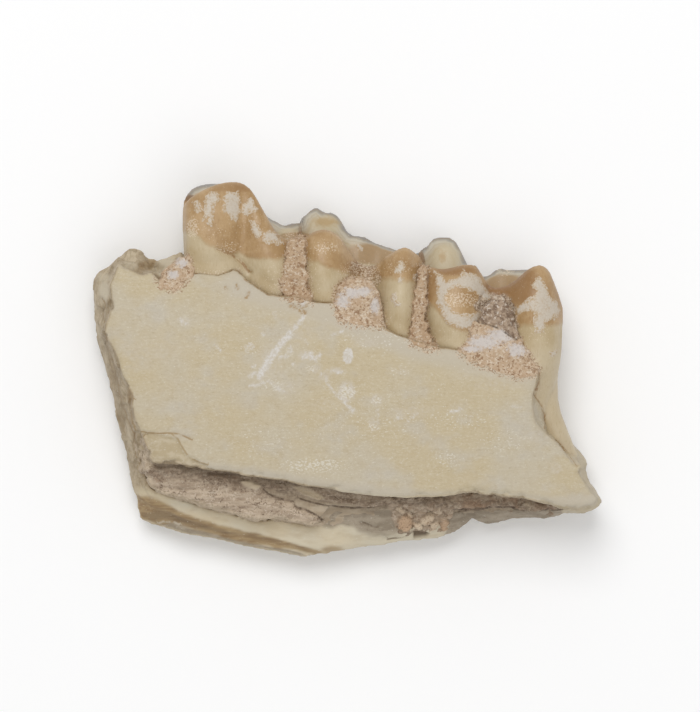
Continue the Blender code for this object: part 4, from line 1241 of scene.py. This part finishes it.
def dress_sediment(node, material, trees, outlines, voxel, seed):
    lump = Surface(node, voxel, crust_slab(trees, outlines, voxel * 1.15, seed))
    lump.smooth(2)
    place = photo_place(lump.points)
    shown = ramp(deepest(place, outlines), -5, -2)
    if node == FILL_NODE:
        lift, own = fill_shape(lump, place, seed)
    else:
        lift, own = lump_shape(lump, place, seed, node == BURNT_NODE)
    none = np.zeros(lump.count)
    fields = dict.fromkeys(("smooth", "dirt", "pale", "tan", "burnt", "crumb"), none)
    fields.update(white=none - 3, warm=none + (node in WARM_NODES))
    lump.swell(lift * np.where(lift > 0, shown, 1))
    lump.fields(**{**fields, **own})
    lump.finish(material)


def add_object(name, data):
    made = bpy.data.objects.new(name, data)
    bpy.context.scene.collection.objects.link(made)
    return made


def floor_and_light():
    corners = [(-FLOOR_REACH, -FLOOR_REACH, 0), (FLOOR_REACH, -FLOOR_REACH, 0)]
    corners += [(FLOOR_REACH, FLOOR_REACH, 0), (-FLOOR_REACH, FLOOR_REACH, 0)]
    floor_mesh = bpy.data.meshes.new("floor")
    floor_mesh.from_pydata(corners, [], [(0, 1, 2, 3)])
    pale = bpy.data.materials.new("floor_pale")
    pale.use_nodes = True
    shader = pale.node_tree.nodes["Principled BSDF"]
    shader.inputs["Base Color"].default_value = FLOOR_TONE
    shader.inputs["Roughness"].default_value = 0.9
    floor_mesh.materials.append(pale)
    floor = add_object("floor", floor_mesh)
    for name, place, size, power in LIGHTS:
        light = bpy.data.lights.new(name, "AREA")
        light.shape = "DISK"
        light.size = size
        light.energy = power
        made = add_object(name, light)
        made.location = place
        made.rotation_euler = (-made.location).to_track_quat("-Z", "Y").to_euler()
    world = bpy.data.worlds.new("studio")
    bpy.context.scene.world = world
    world.use_nodes = True
    sky = world.node_tree.nodes["Background"]
    sky.inputs["Color"].default_value = (1, 1, 1, 1)
    sky.inputs["Strength"].default_value = SKY_STRENGTH


def camera():
    lens = bpy.data.cameras.new("camera")
    lens.sensor_width = SENSOR
    lens.lens = CAMERA_REACH * SENSOR / (PHOTO_SIZE[1] * PX)
    lens.clip_start = 0.01
    made = add_object("camera", lens)
    x = (PHOTO_SIZE[0] / 2 - PHOTO_CENTRE[0]) * PX
    y = (PHOTO_CENTRE[1] - PHOTO_SIZE[1] / 2) * PX
    made.location = (x * MM, y * MM, (CAMERA_REACH + FACE_Z) * MM)
    bpy.context.scene.camera = made


SEDIMENTS = {
    FILL_NODE: ([FILL_CRUST, SMOOTH_CRUST, GAP_CRUST, CORNER_CRUST, RUBBLE], FILL_VOXEL),
    "socket_sediment": ([SOCKET_CRUST], LUMP_VOXEL),
    "seam_sediment_front": ([SEAM_FRONT_CRUST], LUMP_VOXEL),
    "seam_sediment_rear": ([SEAM_REAR_CRUST], LUMP_VOXEL),
    "groove_sediment_front": ([GROOVE_FRONT_CRUST], LUMP_VOXEL),
    BURNT_NODE: ([GROOVE_REAR_CRUST], LUMP_VOXEL),
}


def main():
    enamel = tooth_look()
    crumbly_tones = ((206, 184, 157), (193, 166, 137), (144, 108, 76), (224, 209, 188))
    crumbly = sediment_look("sediment_crumbly", *crumbly_tones, layered=1.0, pores=0.48, size=0.125)
    packed_tones = ((200, 181, 158), (172, 152, 130), (108, 87, 67), (214, 198, 178))
    packed = sediment_look("sediment_packed", *packed_tones, layered=1.9, pores=0.44, size=0.09)
    solids = [
        dress_bone(bone_look()),
        dress_tooth("premolar", enamel, PREMOLAR_FADE, PREMOLAR_CRUST, 3.4, (1,)),
        dress_tooth("front_molar", enamel, FRONT_MOLAR_FADE, FRONT_MOLAR_CRUST, 3.3, (-1, 1)),
        dress_tooth("rear_molar", enamel, REAR_MOLAR_FADE, REAR_MOLAR_CRUST, 3.2, (-1,)),
    ]
    bpy.context.view_layer.update()
    graph = bpy.context.evaluated_depsgraph_get()
    under = [BVHTree.FromObject(solid.object, graph) for solid in solids]
    for seed, (node, (outlines, voxel)) in enumerate(SEDIMENTS.items()):
        trees = under + [BVHTree.FromObject(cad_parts[node], graph)]
        material = packed if node == FILL_NODE else crumbly
        dress_sediment(node, material, trees, outlines, voxel, seed + 20)
    floor_and_light()
    camera()
    bpy.context.scene.view_settings.view_transform = "Standard"


main()
